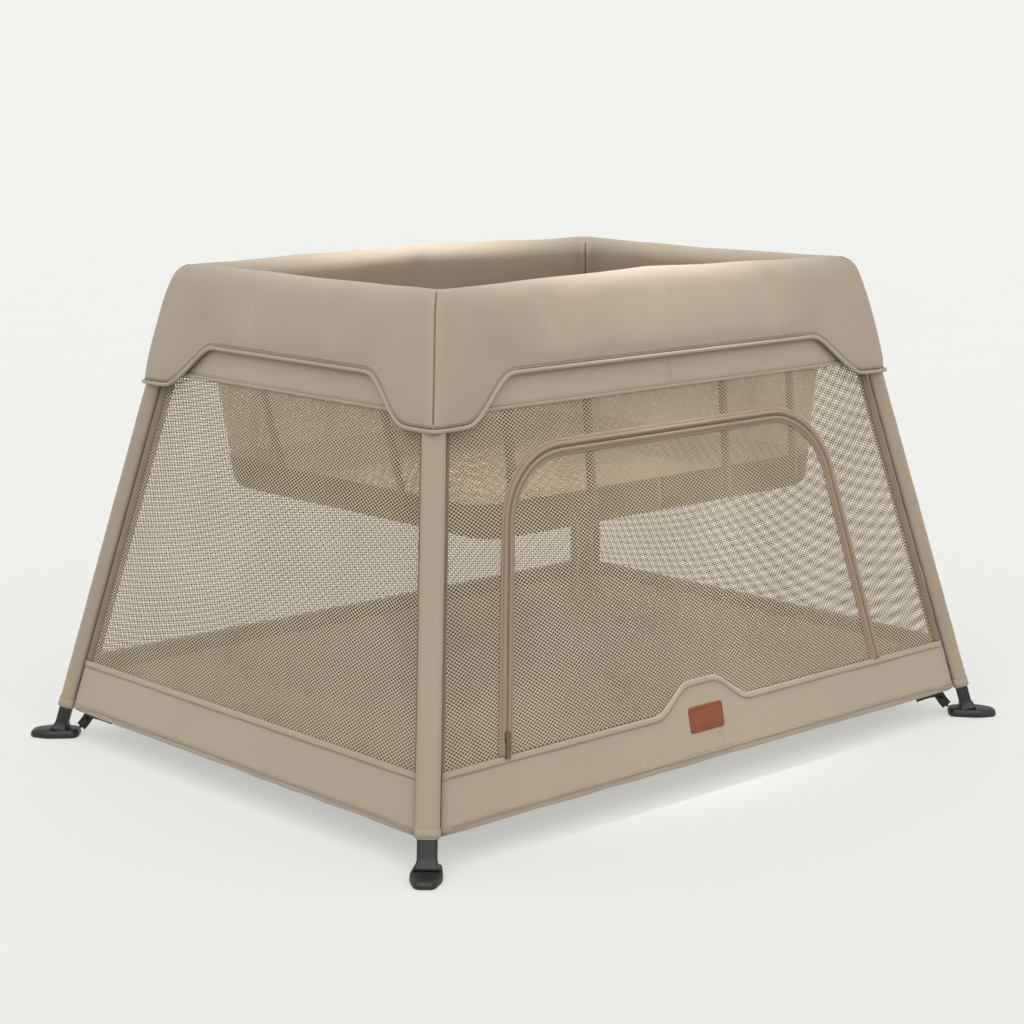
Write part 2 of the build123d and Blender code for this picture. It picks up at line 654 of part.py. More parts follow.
def door_tape(sx: int) -> Part:
    """Half of the zip tape round the door."""
    with BuildPart() as tape:
        with BuildSketch(long_wall(-1, -BAND_THICK / 2)):
            door_profile(TAPE_WIDTH / 2)
            keep_side(sx)
        extrude(amount=BAND_THICK)
        with BuildSketch(long_wall(-1, -BAND_THICK)):
            door_profile(-TAPE_WIDTH / 2)
        extrude(amount=2 * BAND_THICK, mode=Mode.SUBTRACT)
    return tape.part


def zip_slider() -> Part:
    """Slider with its pull, at the foot of the zip's left run."""
    run_x = -wall_x(DOOR_FOOT_Z) + DOOR_LEFT_MARGIN + DOOR_LEFT_LEAN * SLIDER_RISE
    lean = Vector(DOOR_LEFT_LEAN / STRETCH, 1.0, 0).normalized()
    wall = long_wall(-1, BAND_THICK / 2 + FABRIC_GAP)
    origin = wall.from_local_coords(Vector(run_x, up_wall(SLIDER_LOW_Z), 0))
    along = wall.from_local_coords(Vector(run_x, up_wall(SLIDER_LOW_Z), 0) + lean) - origin
    across = along.cross(wall.z_dir)
    face = Plane(origin=origin, x_dir=across, z_dir=wall.z_dir)
    with BuildPart() as slider:
        with BuildSketch(face):
            RectangleRounded(SLIDER_WIDTH, SLIDER_LENGTH, 2.5)
        extrude(amount=SLIDER_THICK)
        with BuildSketch(face.offset(SLIDER_THICK - 1.0)):
            with Locations((0, -PULL_LENGTH / 2)):
                RectangleRounded(SLIDER_WIDTH - 2.0, PULL_LENGTH, 2.0)
        extrude(amount=PULL_THICK)
    return slider.part


def patch() -> Part:
    """Plain sewn patch on the arched rise."""
    with BuildPart() as label:
        with BuildSketch(long_wall(-1, SKIRT_THICK / 2 + FABRIC_GAP)):
            with Locations((PATCH_CENTRE_X, up_wall(PATCH_CENTRE_Z))):
                RectangleRounded(PATCH_WIDTH, PATCH_HEIGHT, 4.0)
        extrude(amount=PATCH_THICK)
    return label.part


# ---------------------------------------------------------------- floor, mattress, insert
def floor_half(sx: int) -> Part:
    """Fabric floor of one half."""
    with BuildPart() as floor:
        with BuildSketch(Plane.XY.offset(FLOOR_Z)):
            half_x = wall_x(FLOOR_Z) - WALL_EDGE
            half_y = wall_y(FLOOR_Z) - WALL_EDGE
            with Locations((sx * half_x / 2, 0)):
                Rectangle(half_x, 2 * half_y)
        extrude(amount=FLOOR_THICK)
    return floor.part


def mattress() -> Part:
    """Thin pad on the fabric floor."""
    low = FLOOR_Z + FLOOR_THICK + FABRIC_GAP
    top = low + MATTRESS_THICK
    with BuildPart() as pad:
        with BuildSketch(Plane.XY.offset(low)):
            RectangleRounded(
                2 * (wall_x(top) - MATTRESS_END_GAP), 2 * (wall_y(top) - MATTRESS_SIDE_GAP), MATTRESS_CORNER
            )
        extrude(amount=MATTRESS_THICK)
        fillet(pad.faces().sort_by(Axis.Z)[-1].edges(), MATTRESS_ROUND)
    return pad.part


def insert_block(shrink: float, low: float) -> Part:
    """Closed block of the raised insert's outside, shrunk all round, from a given floor."""
    with BuildPart() as block:
        with BuildSketch(Plane.XY.offset(low)):
            base_x = wall_x(INSERT_LOW_Z) - INSERT_END_INSET - shrink
            base_y = wall_y(INSERT_LOW_Z) - INSERT_SIDE_INSET - shrink
            RectangleRounded(2 * base_x, 2 * base_y, INSERT_CORNER - shrink)
        with BuildSketch(Plane.XY.offset(INSERT_TOP_Z)):
            rim_x = wall_x(INSERT_TOP_Z) - INSERT_INSET - shrink
            rim_y = wall_y(INSERT_TOP_Z) - INSERT_INSET - shrink
            RectangleRounded(2 * rim_x, 2 * rim_y, INSERT_CORNER - shrink)
        loft(ruled=True)
    return block.part


def insert_half(sx: int) -> Part:
    """Raised sleeping insert, one half: sloping walls and a flat floor."""
    outside = insert_block(0.0, INSERT_LOW_Z)
    inside = insert_block(INSERT_WALL, INSERT_LOW_Z + INSERT_WALL)
    with BuildPart() as tub:
        add(outside)
        add(inside, mode=Mode.SUBTRACT)
        split(bisect_by=Plane.YZ, keep=Keep.BOTTOM if sx < 0 else Keep.TOP)
    return tub.part


def foot_straps(sx: int) -> Part:
    """The two webbing straps of one end, from the floor's corners to the feet."""
    with BuildPart() as straps:
        for sy in (-1, 1):
            side = Plane(origin=leg_point(sx, sy, 0.0), x_dir=(sx, sy, 0), z_dir=(sy, -sx, 0))
            with BuildSketch(side):
                with BuildLine():
                    Polyline(
                        (-STRAP_FAR, FLOOR_Z - 0.5),
                        (-STRAP_NEAR, STRAP_NEAR_Z),
                        (-STRAP_NEAR, STRAP_NEAR_Z - STRAP_THICK),
                        (-STRAP_FAR, FLOOR_Z - 0.5 - STRAP_THICK),
                        close=True,
                    )
                make_face()
                with Locations((-(STRAP_FAR + STRAP_NEAR) / 2, (FLOOR_Z + STRAP_NEAR_Z) / 2 - 1.5)):
                    Rectangle(HOOK_LENGTH, HOOK_THICK)
            extrude(amount=STRAP_WIDTH / 2, both=True)
    return straps.part


def button_springs() -> Part:
    """Return springs of the two release buttons, as short hollow coils."""
    with BuildPart() as springs:
        for sy in (-1, 1):
            start = CORNER_Y - HINGE_TONGUE / 2
            seat = Plane(origin=(0, sy * start, RAIL_Z), x_dir=(1, 0, 0), z_dir=(0, -sy, 0))
            with BuildSketch(seat):
                Circle(SPRING_OUTER / 2)
                Circle(SPRING_INNER / 2, mode=Mode.SUBTRACT)
            extrude(amount=BUTTON_TRAVEL + CLEAR)
    return springs.part


# ---------------------------------------------------------------- write every piece
for side, sx in SIDES.items():
    save(end_rail(sx), f"{side}_end_rail")
    save(pivot_pins(sx), f"{side}_leg_pivot_pins")
    save(cover_half(sx), f"{side}_rail_cover")
    save(fabric_course(sx, BAND_LOW_Z, BAND_TOP_Z, BAND_THICK, False), f"{side}_upper_band")
    save(fabric_course(sx, SKIRT_LOW_Z, SKIRT_TOP_Z, SKIRT_THICK, True), f"{side}_skirt")
    save(front_mesh(sx), f"{side}_front_mesh")
    save(
        plain_mesh(long_wall(1), wall_outline(-sx, wall_x, SKIRT_TOP_Z, BAND_LOW_Z), MESH_THICK),
        f"{side}_back_mesh",
    )
    save(plain_mesh(end_wall(sx), end_outline(SKIRT_TOP_Z, BAND_LOW_Z), MESH_THICK), f"{side}_end_mesh")
    save(floor_half(sx), f"{side}_floor")
    save(insert_half(sx), f"{side}_insert")
    save(door_tape(sx), f"{side}_zip_tape")
    save(door_flap(sx), f"{side}_door_flap")
    save(foot_straps(sx), f"{side}_foot_straps")
    with BuildPart() as hinge_ends:
        for sy in (-1, 1):
            add(hinge_end(sx, sy))
    save(hinge_ends.part, f"{side}_rail_hinge_ends")
    for end, sy in ENDS.items():
        save(long_rail(sx, sy), f"{end}_{side}_rail")
        save(corner_bracket(sx, sy), f"{end}_{side}_bracket")
        save(leg_tube(sx, sy), f"{end}_{side}_leg_tube")
        save(leg_head(sx, sy), f"{end}_{side}_leg_head")
        save(leg_sleeve(sx, sy), f"{end}_{side}_leg_sleeve")
        save(foot(sx, sy), f"{end}_{side}_foot")

with BuildPart() as housings:
    for sy in (-1, 1):
        add(latch_housing(sy))
save(housings.part, "hinge_housings")
save(hinge_pins(), "hinge_pins")
save(button_springs(), "button_springs")
for end, sy in ENDS.items():
    save(release_button(sy), f"{end}_release_button")
save(zip_slider(), "zip_slider")
save(patch(), "sewn_patch")
save(mattress(), "mattress")
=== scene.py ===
"""Looks of a folding playpen: padded cover, mesh walls, zip door, raised insert, feet and straps.

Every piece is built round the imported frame, in metres and in the frame's own axes: the origin on the
floor under the middle, +Z up, +X along the pen, the long wall with the zip door facing -Y.
"""

import json
import logging
from contextlib import contextmanager
from dataclasses import dataclass, field
from enum import Enum
from math import atan2, cos, hypot, pi, radians, sin
from typing import Any, Callable, Iterable, Iterator, Sequence

import bmesh
import bpy
import numpy as np
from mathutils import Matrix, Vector, noise
from mathutils.bvhtree import BVHTree


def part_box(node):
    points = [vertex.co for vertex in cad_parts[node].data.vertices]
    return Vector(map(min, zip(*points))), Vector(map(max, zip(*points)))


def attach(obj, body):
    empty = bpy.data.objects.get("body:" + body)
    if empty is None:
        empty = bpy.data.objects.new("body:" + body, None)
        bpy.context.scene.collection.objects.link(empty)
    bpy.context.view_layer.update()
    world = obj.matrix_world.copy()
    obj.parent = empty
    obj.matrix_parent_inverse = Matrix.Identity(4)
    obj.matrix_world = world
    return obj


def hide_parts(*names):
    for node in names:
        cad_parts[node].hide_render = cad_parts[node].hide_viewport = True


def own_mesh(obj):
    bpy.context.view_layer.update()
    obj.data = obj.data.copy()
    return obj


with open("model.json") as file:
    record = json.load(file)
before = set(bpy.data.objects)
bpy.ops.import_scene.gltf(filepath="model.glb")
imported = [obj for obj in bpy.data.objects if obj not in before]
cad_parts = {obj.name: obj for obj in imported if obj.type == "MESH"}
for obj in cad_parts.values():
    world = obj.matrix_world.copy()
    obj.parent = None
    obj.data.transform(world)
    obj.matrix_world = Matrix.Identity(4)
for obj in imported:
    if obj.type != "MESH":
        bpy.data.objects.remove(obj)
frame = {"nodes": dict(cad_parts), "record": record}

LOG = logging.getLogger("playpen")
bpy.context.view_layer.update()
SIDES = {"left": -1, "right": 1}
ENDS = {"front": -1, "back": 1}
LEGS = [(f"{end}_{side}", sx, sy) for end, sy in ENDS.items() for side, sx in SIDES.items()]
MIDDLE = 1e-5
Colour = tuple[float, float, float, float]
Point2 = tuple[float, float]


def colour(red: float, green: float, blue: float) -> Colour:
    """Linear colour of a finish given as 0 to 255 display values."""
    return tuple((v / 255.0) ** 2.2 for v in (red, green, blue)) + (1.0,)


def ease(value: float) -> float:
    """Smooth step from 0 to 1, held at both ends."""
    t = min(max(value, 0.0), 1.0)
    return t * t * (3.0 - 2.0 * t)


# ---------------------------------------------------------------- shader maths
class Field:
    """One socket of a node tree that takes part in arithmetic."""

    def __init__(self, bench: "ShaderBench", socket: bpy.types.NodeSocket) -> None:
        """Wrap a socket of the tree that bench holds."""
        self.bench = bench
        self.socket = socket

    def __add__(self, other: Any) -> "Field":
        """Sum of two values."""
        return self.bench.math("ADD", self, other)

    def __radd__(self, other: Any) -> "Field":
        """Sum with the number on the left."""
        return self.bench.math("ADD", other, self)

    def __sub__(self, other: Any) -> "Field":
        """Difference of two values."""
        return self.bench.math("SUBTRACT", self, other)

    def __rsub__(self, other: Any) -> "Field":
        """Difference with the number on the left."""
        return self.bench.math("SUBTRACT", other, self)

    def __mul__(self, other: Any) -> "Field":
        """Product of two values."""
        return self.bench.math("MULTIPLY", self, other)

    def __rmul__(self, other: Any) -> "Field":
        """Product with the number on the left."""
        return self.bench.math("MULTIPLY", other, self)

    def __abs__(self) -> "Field":
        """Size of a value without its sign."""
        return self.bench.math("ABSOLUTE", self)

    def sine(self) -> "Field":
        """Sine of a value in radians."""
        return self.bench.math("SINE", self)

    def cosine(self) -> "Field":
        """Cosine of a value in radians."""
        return self.bench.math("COSINE", self)

    def step(self, low: float, high: float) -> "Field":
        """Smooth step of a value between two limits, from 0 to 1."""
        node = self.bench.node(
            "ShaderNodeMapRange",
            {"interpolation_type": "SMOOTHSTEP", "clamp": True},
            {"Value": self, "From Min": low, "From Max": high, "To Min": 0.0, "To Max": 1.0},
        )
        return Field(self.bench, node.outputs["Result"])


class ShaderBench:
    """Node tree of one material, with one way to add a node."""

    def __init__(self, name: str) -> None:
        """Start an empty material.

        Args:
            name: name of the material.
        """
        self.material = bpy.data.materials.new(name)
        self.material.use_nodes = True
        self.tree = self.material.node_tree
        self.tree.nodes.clear()

    def node(self, kind: str, settings: dict[str, Any], inputs: dict[Any, Any]) -> bpy.types.Node:
        """Add a node.

        Args:
            kind: type of the node.
            settings: properties set before the sockets; stops of a ramp stand under "stops".
            inputs: value or link of each socket, by name or place.

        Returns:
            The node.
        """
        node = self.tree.nodes.new(kind)
        for key, value in settings.items():
            if key == "stops":
                ramp = node.color_ramp
                while len(ramp.elements) < len(value):
                    ramp.elements.new(0.5)
                for element, (place, tint) in zip(ramp.elements, value):
                    element.position = place
                    element.color = tint
            else:
                setattr(node, key, value)
        for key, value in inputs.items():
            socket = node.inputs[key]
            if isinstance(value, Field):
                self.tree.links.new(value.socket, socket)
            else:
                socket.default_value = value
        return node

    def math(self, operation: str, *terms: Any) -> Field:
        """Math node on values.

        Args:
            operation: the node's operation.
            terms: fields or numbers, in order.

        Returns:
            The result.
        """
        node = self.node("ShaderNodeMath", {"operation": operation}, dict(enumerate(terms)))
        return Field(self, node.outputs[0])

    def place(self, kind: str = "Object") -> tuple[Field, Field, Field]:
        """Coordinates of a point on the piece, in metres."""
        source = self.node("ShaderNodeTexCoord", {}, {})
        split = self.node("ShaderNodeSeparateXYZ", {}, {0: Field(self, source.outputs[kind])})
        return tuple(Field(self, split.outputs[k]) for k in range(3))

    def cut(self) -> tuple[Field, Field]:
        """Coordinates of a point on the flat cut of a cloth, in metres."""
        return self.place("UV")[:2]

    def mottle(self, scale: float, detail: float = 3.0, stretch: Sequence[float] = (1, 1, 1)) -> Field:
        """Noise over the piece, about 0.5 on average.

        Args:
            scale: noise cells per metre.
            detail: octaves.
            stretch: how much closer the cells lie along each axis.

        Returns:
            The noise value.
        """
        source = self.node("ShaderNodeTexCoord", {}, {})
        scaled = self.node(
            "ShaderNodeVectorMath",
            {"operation": "MULTIPLY"},
            {0: Field(self, source.outputs["Object"]), 1: tuple(float(v) for v in stretch)},
        )
        cells = self.node(
            "ShaderNodeTexNoise",
            {},
            {"Vector": Field(self, scaled.outputs[0]), "Scale": scale, "Detail": detail},
        )
        return Field(self, cells.outputs["Fac"])

    def blend(self, low: Any, high: Any, share: Any) -> Field:
        """Mix two colours by a share from 0 to 1."""
        node = self.node("ShaderNodeMix", {"data_type": "RGBA"}, {0: share, 6: low, 7: high})
        return Field(self, node.outputs[2])

    def relief(self, height: Field, depth: float, strength: float) -> Field:
        """Normal of a surface with small relief.

        Args:
            height: relief from 0 to 1.
            depth: metres that 1 stands for.
            strength: share of the effect.

        Returns:
            The normal.
        """
        node = self.node(
            "ShaderNodeBump", {}, {"Height": height, "Distance": depth, "Strength": strength}
        )
        return Field(self, node.outputs["Normal"])

    def surface(self, inputs: dict[str, Any]) -> bpy.types.Material:
        """Close the tree with one principled surface.

        Args:
            inputs: values and links of the surface's sockets.

        Returns:
            The finished material.
        """
        skin = self.node("ShaderNodeBsdfPrincipled", {}, inputs)
        out = self.node("ShaderNodeOutputMaterial", {}, {})
        self.tree.links.new(skin.outputs[0], out.inputs["Surface"])
        return self.material


# ---------------------------------------------------------------- finishes
@dataclass(frozen=True)
class WovenCloth:
    """Plain woven cloth with a soft sheen."""

    name: str
    light: Colour
    dark: Colour
    thread: float = 0.0009
    rough: float = 0.82
    sheen: float = 0.25
    relief: float = 0.00012

    def make(self) -> bpy.types.Material:
        """Build the material."""
        bench = ShaderBench(self.name)
        x, y, z = bench.place()
        turn = 2.0 * pi / self.thread
        warp = ((x + y) * turn).sine() * 0.5 + 0.5
        weft = (z * turn).sine() * 0.5 + 0.5
        weave = warp * weft + (1 - warp) * (1 - weft)
        slub = bench.mottle(900.0, 2.0, (1.0, 1.0, 0.25))
        cloud = bench.mottle(7.0, 4.0)
        shade = weave * 0.22 + slub * 0.38 + cloud * 0.4
        base = bench.blend(self.dark, self.light, shade.step(0.2, 0.8))
        crumple = bench.mottle(45.0, 4.0) * 0.6 + weave * 0.4
        return bench.surface(
            {
                "Base Color": base,
                "Roughness": self.rough + (slub - 0.5) * 0.18,
                "Sheen Weight": self.sheen,
                "Sheen Roughness": 0.45,
                "Specular IOR Level": 0.25,
                "Normal": bench.relief(crumple, self.relief * 6.0, 0.45),
            }
        )


@dataclass(frozen=True)
class OpenMesh:
    """Knitted mesh with staggered holes, laid out on the cloth's flat cut."""

    name: str
    light: Colour
    dark: Colour
    pitch: float = 0.0072
    edge: float = 0.06

    def make(self) -> bpy.types.Material:
        """Build the material."""
        bench = ShaderBench(self.name)
        u, v = bench.cut()
        across = (u * (2.0 * pi / self.pitch)).cosine()
        along = (v * (2.0 * pi / (self.pitch * 0.69))).cosine()
        cell = across * along
        hole = cell.step(self.edge - 0.07, self.edge + 0.07)
        cloud = bench.mottle(9.0, 3.0)
        fibre = bench.mottle(1400.0, 2.0)
        base = bench.blend(self.dark, self.light, (cloud * 0.5 + fibre * 0.5).step(0.25, 0.75))
        return bench.surface(
            {
                "Base Color": base,
                "Roughness": 0.62 + (fibre - 0.5) * 0.2,
                "Sheen Weight": 0.15,
                "Specular IOR Level": 0.3,
                "Alpha": 1 - hole,
                "Normal": bench.relief(1 - abs(cell), 0.0006, 0.6),
            }
        )


@dataclass(frozen=True)
class Moulding:
    """Fine-grained moulded plastic."""

    name: str
    light: Colour
    dark: Colour
    rough: float = 0.46

    def make(self) -> bpy.types.Material:
        """Build the material."""
        bench = ShaderBench(self.name)
        grain = bench.mottle(1800.0, 2.0)
        wear = bench.mottle(38.0, 5.0)
        base = bench.blend(self.dark, self.light, (wear * 0.7 + grain * 0.3).step(0.35, 0.75))
        return bench.surface(
            {
                "Base Color": base,
                "Roughness": self.rough + (wear - 0.5) * 0.25,
                "Specular IOR Level": 0.45,
                "Normal": bench.relief(grain, 0.00015, 0.35),
            }
        )


@dataclass(frozen=True)
class BareMetal:
    """Drawn or cast metal with faint scratches."""

    name: str
    light: Colour
    dark: Colour
    rough: float = 0.34
    metallic: float = 1.0

    def make(self) -> bpy.types.Material:
        """Build the material."""
        bench = ShaderBench(self.name)
        scratch = bench.mottle(420.0, 3.0, (1.0, 0.08, 1.0))
        dull = bench.mottle(55.0, 4.0)
        base = bench.blend(self.dark, self.light, (scratch * 0.5 + dull * 0.5).step(0.3, 0.7))
        return bench.surface(
            {
                "Base Color": base,
                "Metallic": self.metallic,
                "Roughness": self.rough + (dull - 0.5) * 0.3,
                "Normal": bench.relief(scratch, 0.00008, 0.3),
            }
        )


@dataclass(frozen=True)
class Leather:
    """Pebbled leather-look sheet, worn lighter at random."""

    name: str
    light: Colour
    dark: Colour

    def make(self) -> bpy.types.Material:
        """Build the material."""
        bench = ShaderBench(self.name)
        source = bench.node("ShaderNodeTexCoord", {}, {})
        pebbles = bench.node(
            "ShaderNodeTexVoronoi",
            {"feature": "DISTANCE_TO_EDGE"},
            {"Vector": Field(bench, source.outputs["Object"]), "Scale": 900.0},
        )
        grain = Field(bench, pebbles.outputs["Distance"]).step(0.0, 0.35)
        wear = bench.mottle(60.0, 5.0)
        base = bench.blend(self.dark, self.light, (wear * 0.65 + grain * 0.35).step(0.3, 0.8))
        return bench.surface(
            {
                "Base Color": base,
                "Roughness": 0.58 - grain * 0.12,
                "Specular IOR Level": 0.35,
                "Normal": bench.relief(grain, 0.0003, 0.5),
            }
        )


@dataclass(frozen=True)
class Webbing:
    """Ribbed woven webbing, laid out on its flat cut."""

    name: str
    light: Colour
    dark: Colour
    rib: float = 0.0016

    def make(self) -> bpy.types.Material:
        """Build the material."""
        bench = ShaderBench(self.name)
        u, v = bench.cut()
        turn = 2.0 * pi / self.rib
        twill = ((u + v) * turn).sine() * 0.5 + 0.5
        rows = (v * (turn * 0.5)).sine() * 0.5 + 0.5
        fuzz = bench.mottle(1500.0, 2.0)
        weave = twill * 0.55 + rows * 0.45
        base = bench.blend(self.dark, self.light, (weave * 0.6 + fuzz * 0.4).step(0.2, 0.85))
        return bench.surface(
            {
                "Base Color": base,
                "Roughness": 0.72 + (fuzz - 0.5) * 0.2,
                "Sheen Weight": 0.2,
                "Normal": bench.relief(weave, 0.0004, 0.7),
            }
        )


@dataclass(frozen=True)
class StudioFloor:
    """Plain pale floor, lit faintly from below."""

    name: str
    light: Colour
    dark: Colour
    glow: Colour

    def make(self) -> bpy.types.Material:
        """Build the material."""
        bench = ShaderBench(self.name)
        cloud = bench.mottle(2.5, 3.0)
        return bench.surface(
            {
                "Base Color": bench.blend(self.dark, self.light, cloud),
                "Roughness": 0.9,
                "Specular IOR Level": 0.1,
                "Emission Color": (*self.glow, 1.0),
                "Emission Strength": 0.455,
            }
        )


class Finish(Enum):
    """Every finish that the pen's pieces take."""

    COVER = WovenCloth("padded_cover_cloth", colour(155, 141, 126), colour(146, 132, 117))
    PLAIN = WovenCloth("plain_wall_cloth", colour(159, 145, 129), colour(150, 136, 120))
    # Strips beside the legs: wall cloth darkened to paint the shade that falls beside the leg sleeves.
    EDGING = WovenCloth("leg_edging_cloth", colour(124, 108, 90), colour(110, 94, 77))
    SLEEVE = WovenCloth("leg_sleeve_cloth", colour(153, 139, 124), colour(143, 129, 114))
    BINDING = WovenCloth("binding_cloth", colour(146, 129, 112), colour(130, 113, 96), sheen=0.3)
    # Mattress cloth: its own brown, made darker still as painted shade of the pen's inside seen through the
    # mesh.
    MATTRESS = WovenCloth("mattress_cloth", colour(126, 108, 88), colour(108, 91, 72), thread=0.0014)
    INSERT = WovenCloth("insert_band_cloth", colour(98, 80, 58), colour(84, 68, 48))
    THREAD = WovenCloth("sewing_thread", colour(118, 100, 82), colour(100, 84, 68), thread=0.0004)
    MESH = OpenMesh("wall_mesh", colour(176, 161, 139), colour(154, 138, 116))
    INSERT_MESH = OpenMesh(
        "insert_mesh", colour(172, 154, 124), colour(150, 132, 104), pitch=0.0052, edge=0.30
    )
    TAPE = WovenCloth("zip_tape_cloth", colour(145, 127, 108), colour(129, 111, 93), thread=0.0007)
    COIL = Moulding("zip_coil", colour(120, 105, 88), colour(95, 81, 67), rough=0.4)
    ZIP_METAL = BareMetal("zip_slider_metal", colour(136, 120, 98), colour(98, 85, 70), rough=0.4)
    PLASTIC = Moulding("black_moulding", colour(38, 39, 37), colour(26, 27, 25))
    TUBE = BareMetal("painted_tube", colour(150, 150, 150), colour(124, 124, 124), rough=0.42)
    STEEL = BareMetal("steel_pin", colour(190, 190, 192), colour(150, 150, 152), rough=0.28)
    SPRING = BareMetal("spring_wire", colour(170, 170, 172), colour(120, 120, 122), rough=0.3)
    WEBBING = Webbing("black_webbing", colour(52, 51, 49), colour(24, 24, 23))
    PATCH = Leather("patch_leather", colour(137, 78, 50), colour(115, 63, 38))
    FLOOR = StudioFloor(
        "studio_floor", colour(150, 150, 149), colour(148, 148, 147), glow=(1.0, 1.008, 0.975)
    )


class FinishRack:
    """Makes each finish once and hands it out."""

    def __init__(self) -> None:
        """Start with no material made."""
        self.made: dict[Finish, bpy.types.Material] = {}

    def get(self, finish: Finish) -> bpy.types.Material:
        """Material of a finish."""
        if finish not in self.made:
            self.made[finish] = finish.value.make()
        return self.made[finish]


# ---------------------------------------------------------------- mesh work
def mesh_object(
    name: str, points: Sequence, faces: Sequence[Sequence[int]], flat: Sequence | None = None
) -> bpy.types.Object:
    """Make an object of points and faces.

    Args:
        name: name of the piece.
        points: one row of three per point.
        faces: point numbers of each face.
        flat: place of each point on the flat cut, in metres.

    Returns:
        The object.
    """
    mesh = bpy.data.meshes.new(name)
    mesh.from_pydata(np.asarray(points, float).tolist(), [], [tuple(int(i) for i in f) for f in faces])
    if flat is not None:
        corners = np.empty(len(mesh.loops), int)
        mesh.loops.foreach_get("vertex_index", corners)
        layer = mesh.uv_layers.new(name="cut")
        layer.data.foreach_set("uv", np.asarray(flat, np.float32)[corners].ravel())
    mesh.shade_smooth()
    mesh.update()
    obj = bpy.data.objects.new(name, mesh)
    bpy.context.scene.collection.objects.link(obj)
    return obj


def grid_faces(rows: int, columns: int, wrap: bool = False, start: int = 0) -> list[tuple[int, ...]]:
    """Four-sided faces of a grid of points.

    Args:
        rows: points along the first direction.
        columns: points along the second.
        wrap: the last column joins the first.
        start: number of the grid's first point.

    Returns:
        The faces.
    """
    faces = []
    for i in range(rows - 1):
        for j in range(columns if wrap else columns - 1):
            k = (j + 1) % columns
            a, b = start + i * columns, start + (i + 1) * columns
            faces.append((a + j, a + k, b + k, b + j))
    return faces


def tube_faces(rows: int, count: int, start: int = 0) -> list[tuple[int, ...]]:
    """Faces of rings of points, with a cap at each end.

    Args:
        rows: rings.
        count: points of a ring.
        start: number of the first point.

    Returns:
        The faces.
    """
    first, last = range(start, start + count), range(start + (rows - 1) * count, start + rows * count)
    return grid_faces(rows, count, wrap=True, start=start) + [tuple(first)[::-1], tuple(last)]


def sheet_object(
    name: str, points: Sequence, rows: int, columns: int, flat: Sequence
) -> bpy.types.Object:
    """Single layer of cloth on a grid of points.

    Args:
        name: name of the piece.
        points: points, row after row.
        rows: rows of the grid.
        columns: points of a row.
        flat: place of each point on the flat cut.

    Returns:
        The object.
    """
    return mesh_object(name, points, grid_faces(rows, columns), flat)


def ring_faces(rows: int, count: int) -> list[tuple[int, ...]]:
    """Faces of rings of points that close into a loop."""
    last = (rows - 1) * count
    joint = [(last + j, last + (j + 1) % count, (j + 1) % count, j) for j in range(count)]
    return grid_faces(rows, count, wrap=True) + joint


def settle(obj: bpy.types.Object) -> bpy.types.Object:
    """Make the modifiers of an object part of its mesh."""
    bpy.context.view_layer.update()
    shown = obj.evaluated_get(bpy.context.evaluated_depsgraph_get())
    mesh = bpy.data.meshes.new_from_object(shown)
    obj.modifiers.clear()
    obj.data = mesh
    return obj


def thicken(obj: bpy.types.Object, thickness: float) -> bpy.types.Object:
    """Give a sheet its thickness, half on each side."""
    layer = obj.modifiers.new("thickness", "SOLIDIFY")
    layer.thickness = thickness
    layer.offset = 0.0
    return settle(obj)


def refine(obj: bpy.types.Object) -> bpy.types.Object:
    """Subdivide a mesh once, smoothly."""
    layer = obj.modifiers.new("subdivision", "SUBSURF")
    layer.levels = layer.render_levels = 1
    layer.boundary_smooth = "PRESERVE_CORNERS"
    return settle(obj)


@contextmanager
def editing(obj: bpy.types.Object) -> Iterator[bmesh.types.BMesh]:
    """Open the mesh of an object for changes and write it back."""
    work = bmesh.new()
    work.from_mesh(obj.data)
    yield work
    work.to_mesh(obj.data)
    work.free()


def face_outward(obj: bpy.types.Object) -> bpy.types.Object:
    """Turn the faces of closed shells outward."""
    with editing(obj) as work:
        bmesh.ops.recalc_face_normals(work, faces=work.faces)
    return obj


def crisp_middle(obj: bpy.types.Object) -> bpy.types.Object:
    """Keep the shading of a half unbroken up to the pen's middle, where the two halves meet."""
    with editing(obj) as work:
        for face in work.faces:
            if all(abs(v.co.x) < MIDDLE for v in face.verts):
                for edge in face.edges:
                    edge.smooth = False
    return obj


def join(name: str, parts: Sequence[bpy.types.Object]) -> bpy.types.Object:
    """Join several meshes that have one finish into one piece.

    Args:
        name: name of the joined piece.
        parts: its meshes, which are used up.

    Returns:
        The piece.
    """
    work = bmesh.new()
    for part in parts:
        work.from_mesh(part.data)
    mesh = bpy.data.meshes.new(name)
    work.to_mesh(mesh)
    work.free()
    for part in parts:
        bpy.data.objects.remove(part)
    mesh.shade_smooth()
    obj = bpy.data.objects.new(name, mesh)
    bpy.context.scene.collection.objects.link(obj)
    return obj


def path_frames(path: np.ndarray, closed: bool, up: np.ndarray | None) -> tuple[np.ndarray, np.ndarray]:
    """Two directions square to a path at each of its points.

    Args:
        path: points in order.
        closed: the path is a loop.
        up: wanted first direction at each point, or None for one carried along.

    Returns:
        First and second directions.
    """
    ahead = np.roll(path, -1, 0) - np.roll(path, 1, 0)
    if not closed:
        ahead[0], ahead[-1] = path[1] - path[0], path[-1] - path[-2]
    ahead /= np.linalg.norm(ahead, axis=1)[:, None] + 1e-12
    if up is None:
        first = np.zeros_like(path)
        guess = np.array([0.0, 0.0, 1.0]) if abs(ahead[0][2]) < 0.9 else np.array([1.0, 0.0, 0.0])
        for i, along in enumerate(ahead):
            guess = guess - along * guess.dot(along)
            guess = guess / (np.linalg.norm(guess) + 1e-12)
            first[i] = guess
    else:
        first = up - ahead * (up * ahead).sum(1)[:, None]
        first /= np.linalg.norm(first, axis=1)[:, None] + 1e-12
    return first, np.cross(ahead, first)


